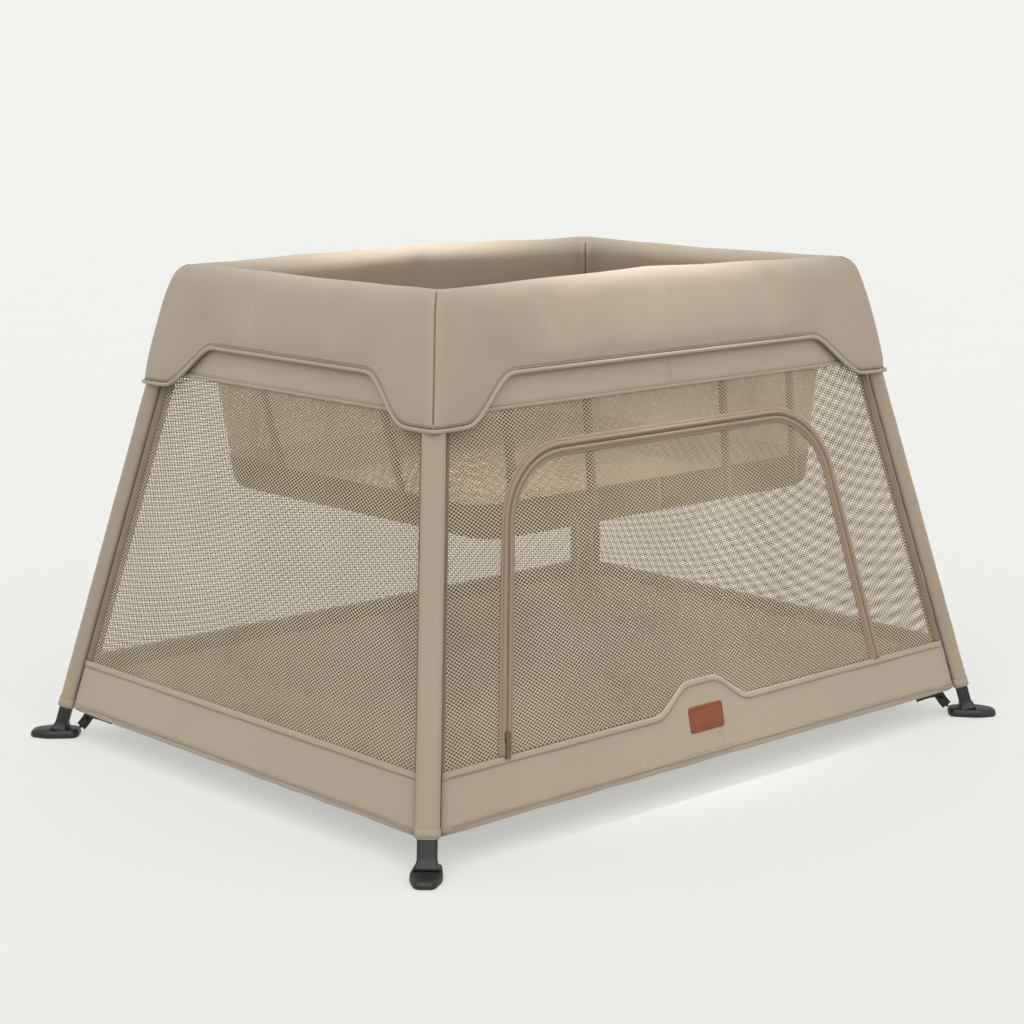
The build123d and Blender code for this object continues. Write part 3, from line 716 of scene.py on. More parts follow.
def sweep(
    name: str,
    path: Sequence[Sequence[float]],
    section: Sequence[Point2] | Callable[[int, float], Sequence[Point2]],
    up: np.ndarray | None = None,
    closed: bool = False,
    open_section: bool = False,
) -> bpy.types.Object:
    """Carry a cross-section along a path.

    Args:
        name: name of the piece.
        path: points in order.
        section: outline as (across, up) values, or a function of place and distance that gives it.
        up: direction of the section's second axis at each point.
        closed: the path is a loop.
        open_section: the section is a strip, not a closed outline.

    Returns:
        The object.
    """
    line = np.asarray(path, float)
    first, second = path_frames(line, closed, up)
    run = runs_of(line)
    points, flat = [], []
    for i, centre in enumerate(line):
        outline = section(i, float(run[i])) if callable(section) else section
        width = 0.0
        before = outline[0]
        for across, height in outline:
            width += hypot(across - before[0], height - before[1])
            before = (across, height)
            points.append(centre + second[i] * across + first[i] * height)
            flat.append((width, run[i]))
    count = len(points) // len(line)
    rows = len(line)
    if closed:
        faces = ring_faces(rows, count)
    elif open_section:
        faces = grid_faces(rows, count)
    else:
        faces = tube_faces(rows, count)
    return face_outward(mesh_object(name, points, faces, flat))


def disc(radius: float, sides: int = 8) -> list[Point2]:
    """Round section."""
    return [(radius * cos(2 * pi * k / sides), radius * sin(2 * pi * k / sides)) for k in range(sides)]


def runs_of(path: Sequence) -> np.ndarray:
    """Distance of each point of a path from its start."""
    steps = np.linalg.norm(np.diff(np.asarray(path, float), axis=0), axis=1)
    return np.concatenate([[0.0], np.cumsum(steps)])


def spaced(path: Sequence, step: float) -> np.ndarray:
    """Points at even distances along a path.

    Args:
        path: points in order.
        step: distance wanted.

    Returns:
        The points, ends included.
    """
    line = np.asarray(path, float)
    run = runs_of(line)
    count = max(2, int(round(run[-1] / step)) + 1)
    marks = np.linspace(0.0, run[-1], count)
    return np.stack([np.interp(marks, run, line[:, k]) for k in range(line.shape[1])], axis=1)


def stitch_row(
    name: str, path: Sequence[Sequence[float]], up: Callable[[np.ndarray], np.ndarray],
    length: float = 0.0032, gap: float = 0.0014, thick: float = 0.0005,
) -> bpy.types.Object:
    """Row of separate stitches along a path.

    Args:
        name: name of the piece.
        path: points in order, on the cloth's face.
        up: gives the cloth's outward direction at a point.
        length: length of a stitch.
        gap: between stitches.
        thick: thickness of the thread.

    Returns:
        One object with all stitches.
    """
    marks = spaced(np.asarray(path, float), length + gap)
    sides, rings = 6, ((-0.5, 0.25), (-0.36, 0.9), (0.0, 1.0), (0.36, 0.9), (0.5, 0.25))
    points, faces = [], []
    for here, there in zip(marks[:-1], marks[1:]):
        along = there - here
        reach = np.linalg.norm(along)
        along = along / (reach + 1e-12)
        normal = up((here + there) / 2)
        across = np.cross(along, normal)
        middle = (here + there) / 2
        start = len(points)
        for place, share in rings:
            for k in range(sides):
                turn = 2 * pi * k / sides
                round_it = across * cos(turn) + normal * sin(turn) * 0.7
                points.append(middle + along * place * length + round_it * thick * share)
        faces += tube_faces(len(rings), sides, start)
    return face_outward(mesh_object(name, points, faces, np.zeros((len(points), 2))))


def rounded(a: float, b: float, radius: float, steps: int) -> list[Point2]:
    """Rounded rectangle.

    Args:
        a: half of its first side.
        b: half of its second side.
        radius: radius of its corners.
        steps: steps on each corner.

    Returns:
        Its outline.
    """
    outline = []
    for cx, cy, start in ((1, 1, 0), (-1, 1, 90), (-1, -1, 180), (1, -1, 270)):
        for k in range(steps + 1):
            angle = radians(start + 90.0 * k / steps)
            outline.append((cx * (a - radius) + radius * cos(angle), cy * (b - radius) + radius * sin(angle)))
    return outline


def outline_area(outline: Sequence[Point2]) -> float:
    """Area inside a closed outline."""
    x, y = np.array(outline, float).T
    return float(abs(np.dot(x, np.roll(y, -1)) - np.dot(y, np.roll(x, -1))) / 2)


def fillet_path(corners: Sequence[Point2], radius: float, step: float) -> np.ndarray:
    """Open path through corners, rounded at each inner corner.

    Args:
        corners: corner points in order.
        radius: radius of the rounding.
        step: distance between points of an arc.

    Returns:
        Points of the path.
    """
    line = [np.array(corners[0], float)]
    for before, corner, after in zip(corners[:-2], corners[1:-1], corners[2:]):
        corner = np.array(corner, float)
        back = (np.array(before, float) - corner) / np.linalg.norm(np.array(before, float) - corner)
        on = (np.array(after, float) - corner) / np.linalg.norm(np.array(after, float) - corner)
        half = np.arccos(np.clip(back.dot(on), -1, 1)) / 2
        reach = radius / np.tan(half)
        centre = corner + (back + on) / np.linalg.norm(back + on) * radius / np.sin(half)
        first, last = corner + back * reach - centre, corner + on * reach - centre
        a, b = atan2(first[1], first[0]), atan2(last[1], last[0])
        turn = (b - a + pi) % (2 * pi) - pi
        count = max(4, int(abs(turn) * radius / step))
        for k in range(count + 1):
            angle = a + turn * k / count
            line.append(centre + radius * np.array([cos(angle), sin(angle)]))
    line.append(np.array(corners[-1], float))
    return np.array(line)


# ---------------------------------------------------------------- the pen's walls
@dataclass(frozen=True)
class Pen:
    """Driving sizes of the pen, the same as the frame's."""

    half_length: float = 0.520
    half_width: float = 0.400
    datum: float = 0.045
    splay: float = 0.2133
    top: float = 0.680
    crest: float = 0.009
    rail_height: float = 0.650
    wall_edge: float = 0.0205
    band_low: float = 0.530
    band_high: float = 0.598
    skirt_low: float = 0.048
    skirt_top: float = 0.115

    @property
    def stretch(self) -> float:
        """Length along a leaning wall per unit of height."""
        return hypot(1.0, self.splay)

    def half_x(self, height: float) -> float:
        """Half length on the wall plane at a height."""
        return self.half_length - self.splay * (height - self.datum)

    def half_y(self, height: float) -> float:
        """Half width on the wall plane at a height."""
        return self.half_width - self.splay * (height - self.datum)

    def leg_point(self, sx: int, sy: int, height: float) -> np.ndarray:
        """Point of a leg line at a height."""
        return np.array([sx * self.half_x(height), sy * self.half_y(height), height])


PEN = Pen()


def diagonals(sx: int, sy: int) -> tuple[np.ndarray, np.ndarray]:
    """Level directions out of a corner of the pen and across it."""
    return np.array([sx, sy, 0.0]) / 2**0.5, np.array([-sy, sx, 0.0]) / 2**0.5


class Wall(Enum):
    """The four walls, each with its direction along, its side and the half length it has."""

    FRONT = (0, -1)
    BACK = (0, 1)
    LEFT = (1, -1)
    RIGHT = (1, 1)

    @property
    def long(self) -> bool:
        """Whether this is one of the two long walls."""
        return self.value[0] == 0

    def half(self, height: float) -> float:
        """Half length of the wall at a height."""
        return PEN.half_x(height) if self.long else PEN.half_y(height)

    def out(self) -> np.ndarray:
        """Outward direction."""
        side = self.value[1]
        flat = (0.0, side, PEN.splay) if self.long else (side, 0.0, PEN.splay)
        return np.array(flat) / PEN.stretch

    def point(self, along: float, height: float, proud: float = 0.0) -> np.ndarray:
        """Point on or near the wall.

        Args:
            along: X on a long wall, Y on an end wall.
            height: height on the wall plane.
            proud: distance outside the wall plane.

        Returns:
            The point.
        """
        side = self.value[1]
        if self.long:
            base = np.array([along, side * PEN.half_y(height), height])
        else:
            base = np.array([side * PEN.half_x(height), along, height])
        return base + self.out() * proud


def wall_cut(along: float, height: float) -> Point2:
    """Place on a wall's flat cut."""
    return along, (height - PEN.datum) * PEN.stretch


def ripple(along: float, height: float, depth: float, seed: float, fine: float = 9.0) -> float:
    """Soft out-of-plane ripple of a stretched cloth.

    Args:
        along: place along the wall.
        height: place up the wall.
        depth: greatest depth.
        seed: moves the pattern.
        fine: ripples per metre.

    Returns:
        Distance out of the plane.
    """
    return depth * noise.noise(Vector((along * fine + seed, height * fine * 0.35, seed * 1.7)))


# ---------------------------------------------------------------- sub-assemblies
@dataclass
class SubAssembly:
    """A group of pieces with one way to hang them on the frame."""

    rack: FinishRack
    fold: str = "left_fold"
    folded: float = 0.24
    made: list[str] = field(default_factory=list)

    def dress(
        self, obj: bpy.types.Object, finish: Finish, body: str, slot: str,
        stands_for: Sequence[str] = (), gathers: bool = True,
    ) -> bpy.types.Object:
        """Give a finished piece its finish and hang it on its body.

        Args:
            obj: the piece, in place.
            finish: its finish.
            body: frame body that it moves with.
            slot: material slot of the record; not used.
            stands_for: frame nodes that it replaces.
            gathers: whether it gets a mesh of its own.

        Returns:
            The piece.
        """
        crisp_middle(obj)
        obj.data.materials.clear()
        obj.data.materials.append(self.rack.get(finish))
        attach(obj, body)
        if stands_for:
            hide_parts(*stands_for)
        if gathers:
            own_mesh(obj)
        self.made.append(obj.name)
        LOG.info("made %s, %d faces, on %s", obj.name, len(obj.data.polygons), body)
        return obj


@dataclass(frozen=True)
class Stuffing:
    """Cloth simulation that swells a closed pad."""

    pressure: float = 2.4
    frames: int = 20
    reach: float = 0.004
    slack: float = -0.008
    bend: float = 6.0

    def swell(self, obj: bpy.types.Object, held: Iterable[int]) -> bpy.types.Object:
        """Swell a pad and keep the result as its mesh.

        Args:
            obj: closed mesh.
            held: points that seams, hems or the frame keep in place.

        Returns:
            The object.
        """
        rest = np.array([v.co for v in obj.data.vertices])
        group = obj.vertex_groups.new(name="held")
        group.add([int(i) for i in held], 1.0, "REPLACE")
        cloth = obj.modifiers.new("stuffing", "CLOTH")
        cloth.settings.quality = 5
        cloth.settings.mass = 0.2
        cloth.settings.tension_stiffness = 12
        cloth.settings.compression_stiffness = 12
        cloth.settings.bending_stiffness = self.bend
        cloth.settings.shrink_min = self.slack
        cloth.settings.shrink_max = self.slack
        cloth.settings.use_pressure = True
        cloth.settings.uniform_pressure_force = self.pressure
        cloth.settings.effector_weights.gravity = 0.0
        cloth.settings.vertex_group_mass = "held"
        cloth.point_cache.frame_start = 1
        cloth.point_cache.frame_end = self.frames
        scene = bpy.context.scene
        for number in range(1, self.frames + 1):
            scene.frame_set(number)
        shown = obj.evaluated_get(bpy.context.evaluated_depsgraph_get())
        swollen = np.array([v.co for v in shown.data.vertices])
        obj.modifiers.clear()
        obj.vertex_groups.clear()
        scene.frame_set(1)
        move = swollen - rest
        far = np.linalg.norm(move, axis=1)
        share = np.where(far > self.reach, self.reach / np.maximum(far, 1e-9), 1.0)
        kept = rest + move * share[:, None]
        obj.data.vertices.foreach_set("co", kept.ravel())
        obj.data.update()
        return obj


@dataclass(frozen=True)
class Station:
    """One place on the way round the cover: its wall, share of the wall or turn of the corner."""

    wall: Wall | None
    share: float
    corner: tuple[int, int] | None = None
    turn: float = 0.0


@dataclass
class PaddedCover(SubAssembly):
    """Padded cover over the rails, with a pocket down each leg, in two halves."""

    low: float = 0.575
    pocket_low: float = 0.517
    lining_low: float = 0.606
    proud: float = 0.0105
    pocket_proud: float = 0.0172
    inner: float = -0.0405
    corner_radius: float = 0.014
    fullness: float = 0.0055
    curve_from: float = 0.040
    curve_to: float = 0.118
    pocket_reach: float = 0.11
    pocket_top: float = 0.590
    pocket_fade: float = 0.085
    full_reach: float = 0.20
    full_from: float = 0.585
    full_fade: float = 0.07
    tucked: int = 17
    step: float = 0.012
    piping: float = 0.0027
    skin: BVHTree | None = None

    def stations(self) -> list[Station]:
        """Places round the cover, starting at the left end of the front wall."""
        marks: list[Station] = []
        order = (
            (Wall.FRONT, 1, (1, -1)),
            (Wall.RIGHT, 1, (1, 1)),
            (Wall.BACK, -1, (-1, 1)),
            (Wall.LEFT, -1, (-1, -1)),
        )
        for wall, way, corner in order:
            count = 2 * int(round(wall.half(self.low) / self.step))
            shares = np.linspace(-1.0, 1.0, count + 1) * way
            marks += [Station(wall, float(s)) for s in shares]
            marks += [Station(None, 0.0, corner, k / 4.0) for k in range(1, 4)]
        return marks

    def inward(self, station: Station) -> float:
        """Distance of a station from the nearest corner."""
        return 0.0 if station.wall is None else station.wall.half(self.low) * (1 - abs(station.share))

    def low_edge(self, station: Station) -> float:
        """Height of the cover's lower edge at a station."""
        rise = ease((self.inward(station) - self.curve_from) / (self.curve_to - self.curve_from))
        return self.pocket_low + (self.low - self.pocket_low) * rise

    def top_edge(self, station: Station) -> float:
        """Height of the cover's top at a station."""
        if station.wall is None or not station.wall.long:
            return PEN.top
        return PEN.top + PEN.crest * (1 - abs(station.share))

    def place(self, station: Station, out: float, height: float, pocket: bool = False) -> np.ndarray:
        """Point of the cover.

        Args:
            station: place round the cover.
            out: distance outside the wall planes.
            height: height of the point.
            pocket: the point is on the outer skin, which clears the leg low down.

        Returns:
            The point.
        """
        if pocket:
            near = 1.0 - ease(self.inward(station) / self.pocket_reach)
            down = 1.0 - ease((height - self.pocket_top) / self.pocket_fade)
            out = out + (self.pocket_proud - self.proud) * near * down
        close = 1.0 - ease(self.inward(station) / self.full_reach)
        outer = ease((out + 0.026) / 0.014)
        out = out + self.fullness * close * outer * ease((height - self.full_from) / self.full_fade)
        a, b = PEN.half_x(height) + out, PEN.half_y(height) + out
        radius = self.corner_radius
        if station.wall is None:
            sx, sy = station.corner
            start = {(1, -1): -90.0, (1, 1): 0.0, (-1, 1): 90.0, (-1, -1): 180.0}[station.corner]
            angle = radians(start + 90.0 * station.turn)
            return np.array(
                [sx * (a - radius) + radius * cos(angle), sy * (b - radius) + radius * sin(angle), height]
            )
        side = station.wall.value[1]
        if station.wall.long:
            return np.array([station.share * (a - radius), side * b, height])
        return np.array([side * a, station.share * (b - radius), height])

    def section(self, station: Station) -> list[tuple[float, float, bool, bool]]:
        """Closed section of the cover at a station.

        Args:
            station: place round the cover.

        Returns:
            Distance out, height, whether it is on the outer skin, and whether it is held.
        """
        low, top = self.low_edge(station), self.top_edge(station)
        thin = 0.0022 * (1 - ease((low - self.pocket_low) / (self.low - self.pocket_low)))
        shoulder = top - 0.024
        outer = []
        for share in (0.0, 0.06, 0.2, 0.36, 0.52, 0.68, 0.84, 1.0):
            belly = 0.0016 * sin(pi * share)
            lip = -0.0022 * (1 - ease(share / 0.1))
            outer.append((self.proud + belly + lip, low + (shoulder - low) * share, True, share < 0.03))
        rim = [
            (self.proud - 0.0018, top - 0.0125, True, False),
            (self.proud - 0.0065, top - 0.0045, False, False),
            (self.proud - 0.0150, top - 0.0006, False, False),
            (self.proud - 0.0250, top, False, False),
            (self.proud - 0.0350, top - 0.0016, False, False),
            (self.proud - 0.0425, top - 0.0070, False, False),
            (self.inner + 0.0006, top - 0.0165, False, False),
            (self.inner, top - 0.0320, False, False),
            (self.inner + 0.0004, self.lining_low + 0.022, False, False),
            (self.inner + 0.0016, self.lining_low + 0.004, False, False),
            (self.inner + 0.0030, self.lining_low, False, True),
        ]
        hidden = [
            (self.inner + 0.0042, self.lining_low + 0.006, False, True),
            (self.inner + 0.0040, top - 0.040, False, True),
            (self.inner + 0.0090, top - 0.016, False, True),
            (self.proud - 0.0200, top - 0.011, False, True),
            (self.proud - 0.0080, top - 0.017, False, True),
            (self.proud - 0.0042, shoulder - 0.008, True, True),
            (self.proud - 0.0038 + thin, low + (shoulder - low) * 0.5, True, True),
            (self.proud - 0.0036 + thin, low + 0.004, True, True),
        ]
        return outer + rim + hidden

    def seam_numbers(self, marks: Sequence[Station]) -> set[int]:
        """Stations that a vertical seam holds: the four corners."""
        return {i for i, m in enumerate(marks) if m.wall is None and m.turn == 0.5}

    def build(self) -> None:
        """Build the cover, its piping and its corner seams."""
        marks = self.stations()
        sections = [self.section(m) for m in marks]
        count = len(sections[0])
        seams = self.seam_numbers(marks)
        points, held = [], []
        for i, (mark, outline) in enumerate(zip(marks, sections)):
            for j, (out, height, skin, fixed) in enumerate(outline):
                tuck = 0.0016 if i in seams and j < self.tucked else 0.0
                points.append(self.place(mark, out - tuck, height, skin))
                if fixed or i in seams:
                    held.append(i * count + j)
        ring = face_outward(mesh_object("cover_ring", points, ring_faces(len(marks), count)))
        Stuffing(pressure=1.6, reach=0.0022, slack=-0.004, bend=8.0).swell(ring, held)
        self.crumple(ring, marks, count)
        refine(ring)
        for side, sx in SIDES.items():
            half = self.half_of(ring, f"{side}_cover_pad", sx)
            self.dress(half, Finish.COVER, f"{side}_frame", "padded_cover", [f"{side}_rail_cover"])
        self.skin = BVHTree.FromObject(ring, bpy.context.evaluated_depsgraph_get())
        bpy.data.objects.remove(ring)
        self.build_piping(marks)
        self.build_seams(marks)

    def crumple(self, ring: bpy.types.Object, marks: Sequence[Station], count: int) -> None:
        """Add soft creases near the corners, on the outer skin."""
        mesh = ring.data
        normals = np.array([v.normal for v in mesh.vertices])
        points = np.array([v.co for v in mesh.vertices])
        for i, mark in enumerate(marks):
            near = 1.0 - ease((self.inward(mark) - 0.02) / 0.16)
            for j in range(1, self.tucked - 1):
                k = i * count + j
                x, y, z = points[k]
                fold = noise.noise(Vector((x * 9.0, y * 9.0, z * 34.0 + x * 12.0)))
                soft = noise.noise(Vector((x * 14.0 + 3.0, y * 14.0, z * 10.0)))
                points[k] += normals[k] * (0.0011 * near * fold + 0.0005 * soft)
        mesh.vertices.foreach_set("co", points.ravel())
        mesh.update()

    def half_of(self, ring: bpy.types.Object, name: str, sx: int) -> bpy.types.Object:
        """Cut one half off the whole cover and close its cut ends.

        Args:
            ring: the whole cover.
            name: name of the half.
            sx: side that is kept.

        Returns:
            The half.
        """
        work = bmesh.new()
        work.from_mesh(ring.data)
        geometry = work.verts[:] + work.edges[:] + work.faces[:]
        bmesh.ops.bisect_plane(work, geom=geometry, plane_co=(0, 0, 0), plane_no=(sx, 0, 0), clear_inner=True)
        ends = [e for e in work.edges if e.is_boundary]
        bmesh.ops.edgeloop_fill(work, edges=ends)
        bmesh.ops.recalc_face_normals(work, faces=work.faces)
        mesh = bpy.data.meshes.new(name)
        work.to_mesh(mesh)
        work.free()
        mesh.shade_smooth()
        obj = bpy.data.objects.new(name, mesh)
        bpy.context.scene.collection.objects.link(obj)
        return obj

    def edge_path(self, marks: Sequence[Station], sx: int, out: float, drop: float) -> np.ndarray:
        """Line along the cover's lower edge on one side of the middle.

        Args:
            marks: stations all round.
            sx: side.
            out: distance outside the cover's outer skin.
            drop: distance below the edge.

        Returns:
            Points from the back of the middle to the front, or the other way round.
        """
        line = [self.place(m, self.proud + out, self.low_edge(m) - drop, True) for m in marks]
        here = [p for p in line if sx * p[0] >= -1e-6]
        here.sort(key=lambda p: atan2(p[1], sx * p[0]))
        return np.array(here)

    def build_piping(self, marks: Sequence[Station]) -> None:
        """Corded edge along the bottom of the cover, with a row of stitches over it."""
        for side, sx in SIDES.items():
            line = spaced(self.edge_path(marks, sx, -0.0012, 0.0008), 0.006)
            cord = sweep(f"{side}_cover_piping", line, disc(self.piping, 10))
            self.dress(cord, Finish.COVER, f"{side}_frame", "padded_cover")
            row = self.edge_path(marks, sx, 0.0022, -0.0055)
            stitches = stitch_row(f"{side}_cover_hem_stitches", self.on_skin(row), self.outward)
            self.dress(stitches, Finish.THREAD, f"{side}_frame", "padded_cover")

    def outward(self, point: np.ndarray) -> np.ndarray:
        """Outward direction of the finished cover near a point."""
        return np.array(self.skin.find_nearest(Vector(point))[1])

    def on_skin(self, line: Sequence[np.ndarray]) -> np.ndarray:
        """Line laid on the finished cover."""
        found = [self.skin.find_nearest(Vector(p)) for p in spaced(np.array(line), 0.004)]
        return np.array([np.array(place) + np.array(normal) * 0.0003 for place, normal, _, _ in found])

    def build_seams(self, marks: Sequence[Station]) -> None:
        """Vertical seams at the corners, outside and inside."""
        outside, inside = (slice(1, 11), 0.0005, 0.0009), (slice(13, 18), -0.0006, 0.0011)
        corners = [marks[i] for i in sorted(self.seam_numbers(marks))]
        for side, sx in SIDES.items():
            rows = []
            for mark in [m for m in corners if m.corner[0] == sx]:
                for stretch, proud, thick in (outside, inside):
                    places = self.section(mark)[stretch]
                    line = [self.place(mark, out + proud, height, skin) for out, height, skin, _ in places]
                    rows.append(sweep("seam", self.on_skin(line), disc(thick, 6)))
            piece = join(f"{side}_cover_corner_stitches", rows)
            self.dress(piece, Finish.THREAD, f"{side}_frame", "padded_cover")


@dataclass
class WallCloth(SubAssembly):
    """Plain band under the cover, skirt with its arch, and their bindings."""

    band_thick: float = 0.0022
    skirt_thick: float = 0.0026
    binding: float = 0.008
    arch_x: float = -0.026
    arch_rise: float = 0.035
    arch_top: float = 0.034
    arch_foot: float = 0.088
    sleeve_edge: float = 0.0194
    strip_wide: float = 0.015
    strip_narrow: float = 0.005
    hem: float = 0.0055
    hem_stitch: float = 0.0040
    binding_stitch: float = 0.0065
    pipe_low: float = 0.0470
    pipe_rise: float = 0.0050
    pipe_radius: float = 0.0019
    step: float = 0.010

    def arch(self, along: float) -> float:
        """Height of the skirt's top edge on the front wall."""
        away, crown = abs(along - self.arch_x), self.arch_top * 0.6
        return PEN.skirt_top + self.arch_rise * (1 - ease((away - crown) / (self.arch_foot - crown)))

    def spans(self, sx: int) -> list[tuple[Wall, float, float]]:
        """Stretches of wall on one side of the middle, as shares of the wall's half length."""
        end = Wall.LEFT if sx < 0 else Wall.RIGHT
        return [(Wall.FRONT, 0.0, float(sx)), (end, -1.0, 1.0), (Wall.BACK, 0.0, float(sx))]

    def strip(
        self, name: str, wall: Wall, start: float, stop: float,
        low: Callable[[float], float], high: Callable[[float], float],
        thick: float, rows: int, proud: Callable[[float, float], float],
    ) -> tuple[bpy.types.Object, float, float]:
        """One stretch of cloth on a wall.

        Args:
            name: name of the mesh.
            wall: its wall.
            start: where it starts, as a share of the wall's half length.
            stop: where it stops.
            low: height of its lower edge at a place along the wall.
            high: height of its upper edge.
            thick: thickness.
            rows: rows of points.
            proud: distance out of the plane at a place.

        Returns:
            The mesh, its flat area and its length.
        """
        reach = wall.half(low(0.0)) - PEN.wall_edge
        columns = max(3, int(abs(stop - start) * reach / self.step) + 1)
        points, flat = [], []
        for t in np.linspace(start, stop, columns):
            for share in np.linspace(0.0, 1.0, rows):
                guess = t * reach
                height = low(guess) + (high(guess) - low(guess)) * share
                along = t * (wall.half(height) - PEN.wall_edge)
                points.append(wall.point(along, height, proud(along, height)))
                flat.append(wall_cut(along, height))
        sheet = sheet_object(name, points, columns, rows, flat)
        edge = flat[:rows] + flat[rows - 1 :: rows] + flat[-rows:][::-1] + flat[::rows][::-1]
        return thicken(sheet, thick), outline_area(edge), abs(stop - start) * reach

    def course(
        self, name: str, sx: int, low: Callable[[Wall, float], float],
        high: Callable[[Wall, float], float], thick: float, rows: int,
        proud: Callable[[float, float], float],
    ) -> tuple[bpy.types.Object, float, float]:
        """Front, end and back stretches of one course, joined.

        Args:
            name: name of the piece.
            sx: side.
            low: lower edge by wall and place.
            high: upper edge by wall and place.
            thick: thickness.
            rows: rows of points.
            proud: distance out of the plane.

        Returns:
            The piece, its flat area and its length.
        """
        parts, area, length = [], 0.0, 0.0
        for wall, start, stop in self.spans(sx):
            part, part_area, part_length = self.strip(
                name, wall, start, stop,
                lambda s, w=wall: low(w, s), lambda s, w=wall: high(w, s), thick, rows, proud,
            )
            parts.append(part)
            area += part_area
            length += part_length
        return join(name, parts), area, length

    def build(self) -> None:
        """Build the band, the skirt, the bindings and their stitches."""
        for side, sx in SIDES.items():
            self.build_band(side, sx)
            self.build_skirt(side, sx)
            self.build_leg_strips(side, sx)

    def build_band(self, side: str, sx: int) -> None:
        """Plain band seen below the cover."""
        band, _, length = self.course(
            f"{side}_band_cloth", sx, lambda w, s: PEN.band_low, lambda w, s: PEN.band_high,
            self.band_thick, 9, lambda s, z: 0.0002 + ripple(s, z, 0.0010, 2.0, 14.0),
        )
        self.dress(band, Finish.PLAIN, f"{side}_frame", "plain_fabric", [f"{side}_upper_band"])
        depth = (PEN.band_high - PEN.band_low) * PEN.stretch
        hems, rows = [], []
        for wall, start, stop in self.spans(sx):
            hem, _, _ = self.strip(
                "hem", wall, start, stop, lambda s: PEN.band_low - 0.001,
                lambda s: PEN.band_low + self.hem, self.band_thick + 0.0016, 3,
                lambda s, z: 0.0004,
            )
            hems.append(hem)
            rows.append(self.stitch_line(wall, start, stop, lambda s: PEN.band_low + self.hem_stitch, 0.0026))
        hem = join(f"{side}_band_hem", hems)
        self.dress(hem, Finish.PLAIN, f"{side}_frame", "plain_fabric")
        self.dress(join(f"{side}_band_stitches", rows), Finish.THREAD, f"{side}_frame", "plain_fabric")

    def stitch_line(
        self, wall: Wall, start: float, stop: float, height: Callable[[float], float], proud: float
    ) -> bpy.types.Object:
        """Row of stitches along a course.

        Args:
            wall: its wall.
            start: where it starts, as a share of the wall's half length.
            stop: where it stops.
            height: height at a place along the wall.
            proud: distance out of the wall plane.

        Returns:
            The stitches.
        """
        reach = wall.half(height(0.0)) - PEN.wall_edge - 0.001
        count = max(3, int(abs(stop - start) * reach / 0.006))
        line = [wall.point(t * reach, height(t * reach), proud) for t in np.linspace(start, stop, count)]
        return stitch_row("row", line, lambda p, w=wall: w.out())

    def skirt_top(self, wall: Wall, along: float) -> float:
        """Height of the skirt's top edge."""
        return self.arch(along) if wall is Wall.FRONT else PEN.skirt_top

    def build_skirt(self, side: str, sx: int) -> None:
        """Skirt with its binding, its lower piping and the roll under the base."""
        skirt, area, length = self.course(
            f"{side}_skirt_cloth", sx, lambda w, s: PEN.skirt_low, self.skirt_top,
            self.skirt_thick, 12, lambda s, z: 0.0004 + ripple(s, z, 0.0014, 7.0, 11.0),
        )
        self.dress(skirt, Finish.PLAIN, f"{side}_frame", "plain_fabric", [f"{side}_skirt"])
        depth = (self.arch(self.arch_x) - PEN.skirt_low) * PEN.stretch
        tops, rows, rolls, pipes = [], [], [], []
        for wall, start, stop in self.spans(sx):
            top = lambda s, w=wall: self.skirt_top(w, s)
            hem, _, _ = self.strip(
                "binding", wall, start, stop, lambda s: top(s) - self.binding, lambda s: top(s) + 0.001,
                self.skirt_thick + 0.0018, 4, lambda s, z: 0.0006,
            )
            tops.append(hem)
            rows.append(self.stitch_line(wall, start, stop, lambda s: top(s) - self.binding_stitch, 0.0031))
            rolls.append(self.roll_under(wall, start, stop))
            reach = wall.half(0.052) - PEN.wall_edge
            line = []
            for t in np.linspace(start, stop, 60):
                lift = ease(reach * (1 - abs(t)) / 0.07)
                line.append(wall.point(t * reach, self.pipe_low + self.pipe_rise * lift, 0.0016))
            pipes.append(sweep("piping", line, disc(self.pipe_radius, 10)))
        binding = join(f"{side}_skirt_binding", tops)
        self.dress(binding, Finish.PLAIN, f"{side}_frame", "plain_fabric")
        self.dress(join(f"{side}_skirt_stitches", rows), Finish.THREAD, f"{side}_frame", "plain_fabric")
        roll = join(f"{side}_base_roll", rolls)
        self.dress(roll, Finish.PLAIN, f"{side}_frame", "plain_fabric")
        pipe = join(f"{side}_base_piping", pipes)
        self.dress(pipe, Finish.BINDING, f"{side}_frame", "plain_fabric")

    def roll_under(self, wall: Wall, start: float, stop: float) -> bpy.types.Object:
        """Rounded turn of the skirt under the base.

        Args:
            wall: its wall.
            start: where it starts, as a share of the wall's half length.
            stop: where it stops.

        Returns:
            The strip.
        """
        turn = [(0.0012, 0.0500), (0.0008, 0.0470), (-0.0010, 0.0445), (-0.0050, 0.0428)]
        turn += [(-0.0140, 0.0420), (-0.0260, 0.0424), (-0.0400, 0.0432)]
        reach = wall.half(0.047) - PEN.wall_edge
        columns = max(3, int(abs(stop - start) * reach / 0.012))
        points, flat = [], []
        for t in np.linspace(start, stop, columns):
            run, before = 0.0, turn[0]
            for out, height in turn:
                run += hypot(out - before[0], height - before[1])
                before = (out, height)
                sag = 0.0012 * noise.noise(Vector((t * 9.0, out * 90.0, wall.value[1] * 3.0)))
                place = t * (reach + min(out, 0.0))
                points.append(wall.point(place, height + sag * (out < -0.004), out))
                flat.append((place, run))
        return thicken(sheet_object("roll", points, columns, len(turn), flat), 0.0016)

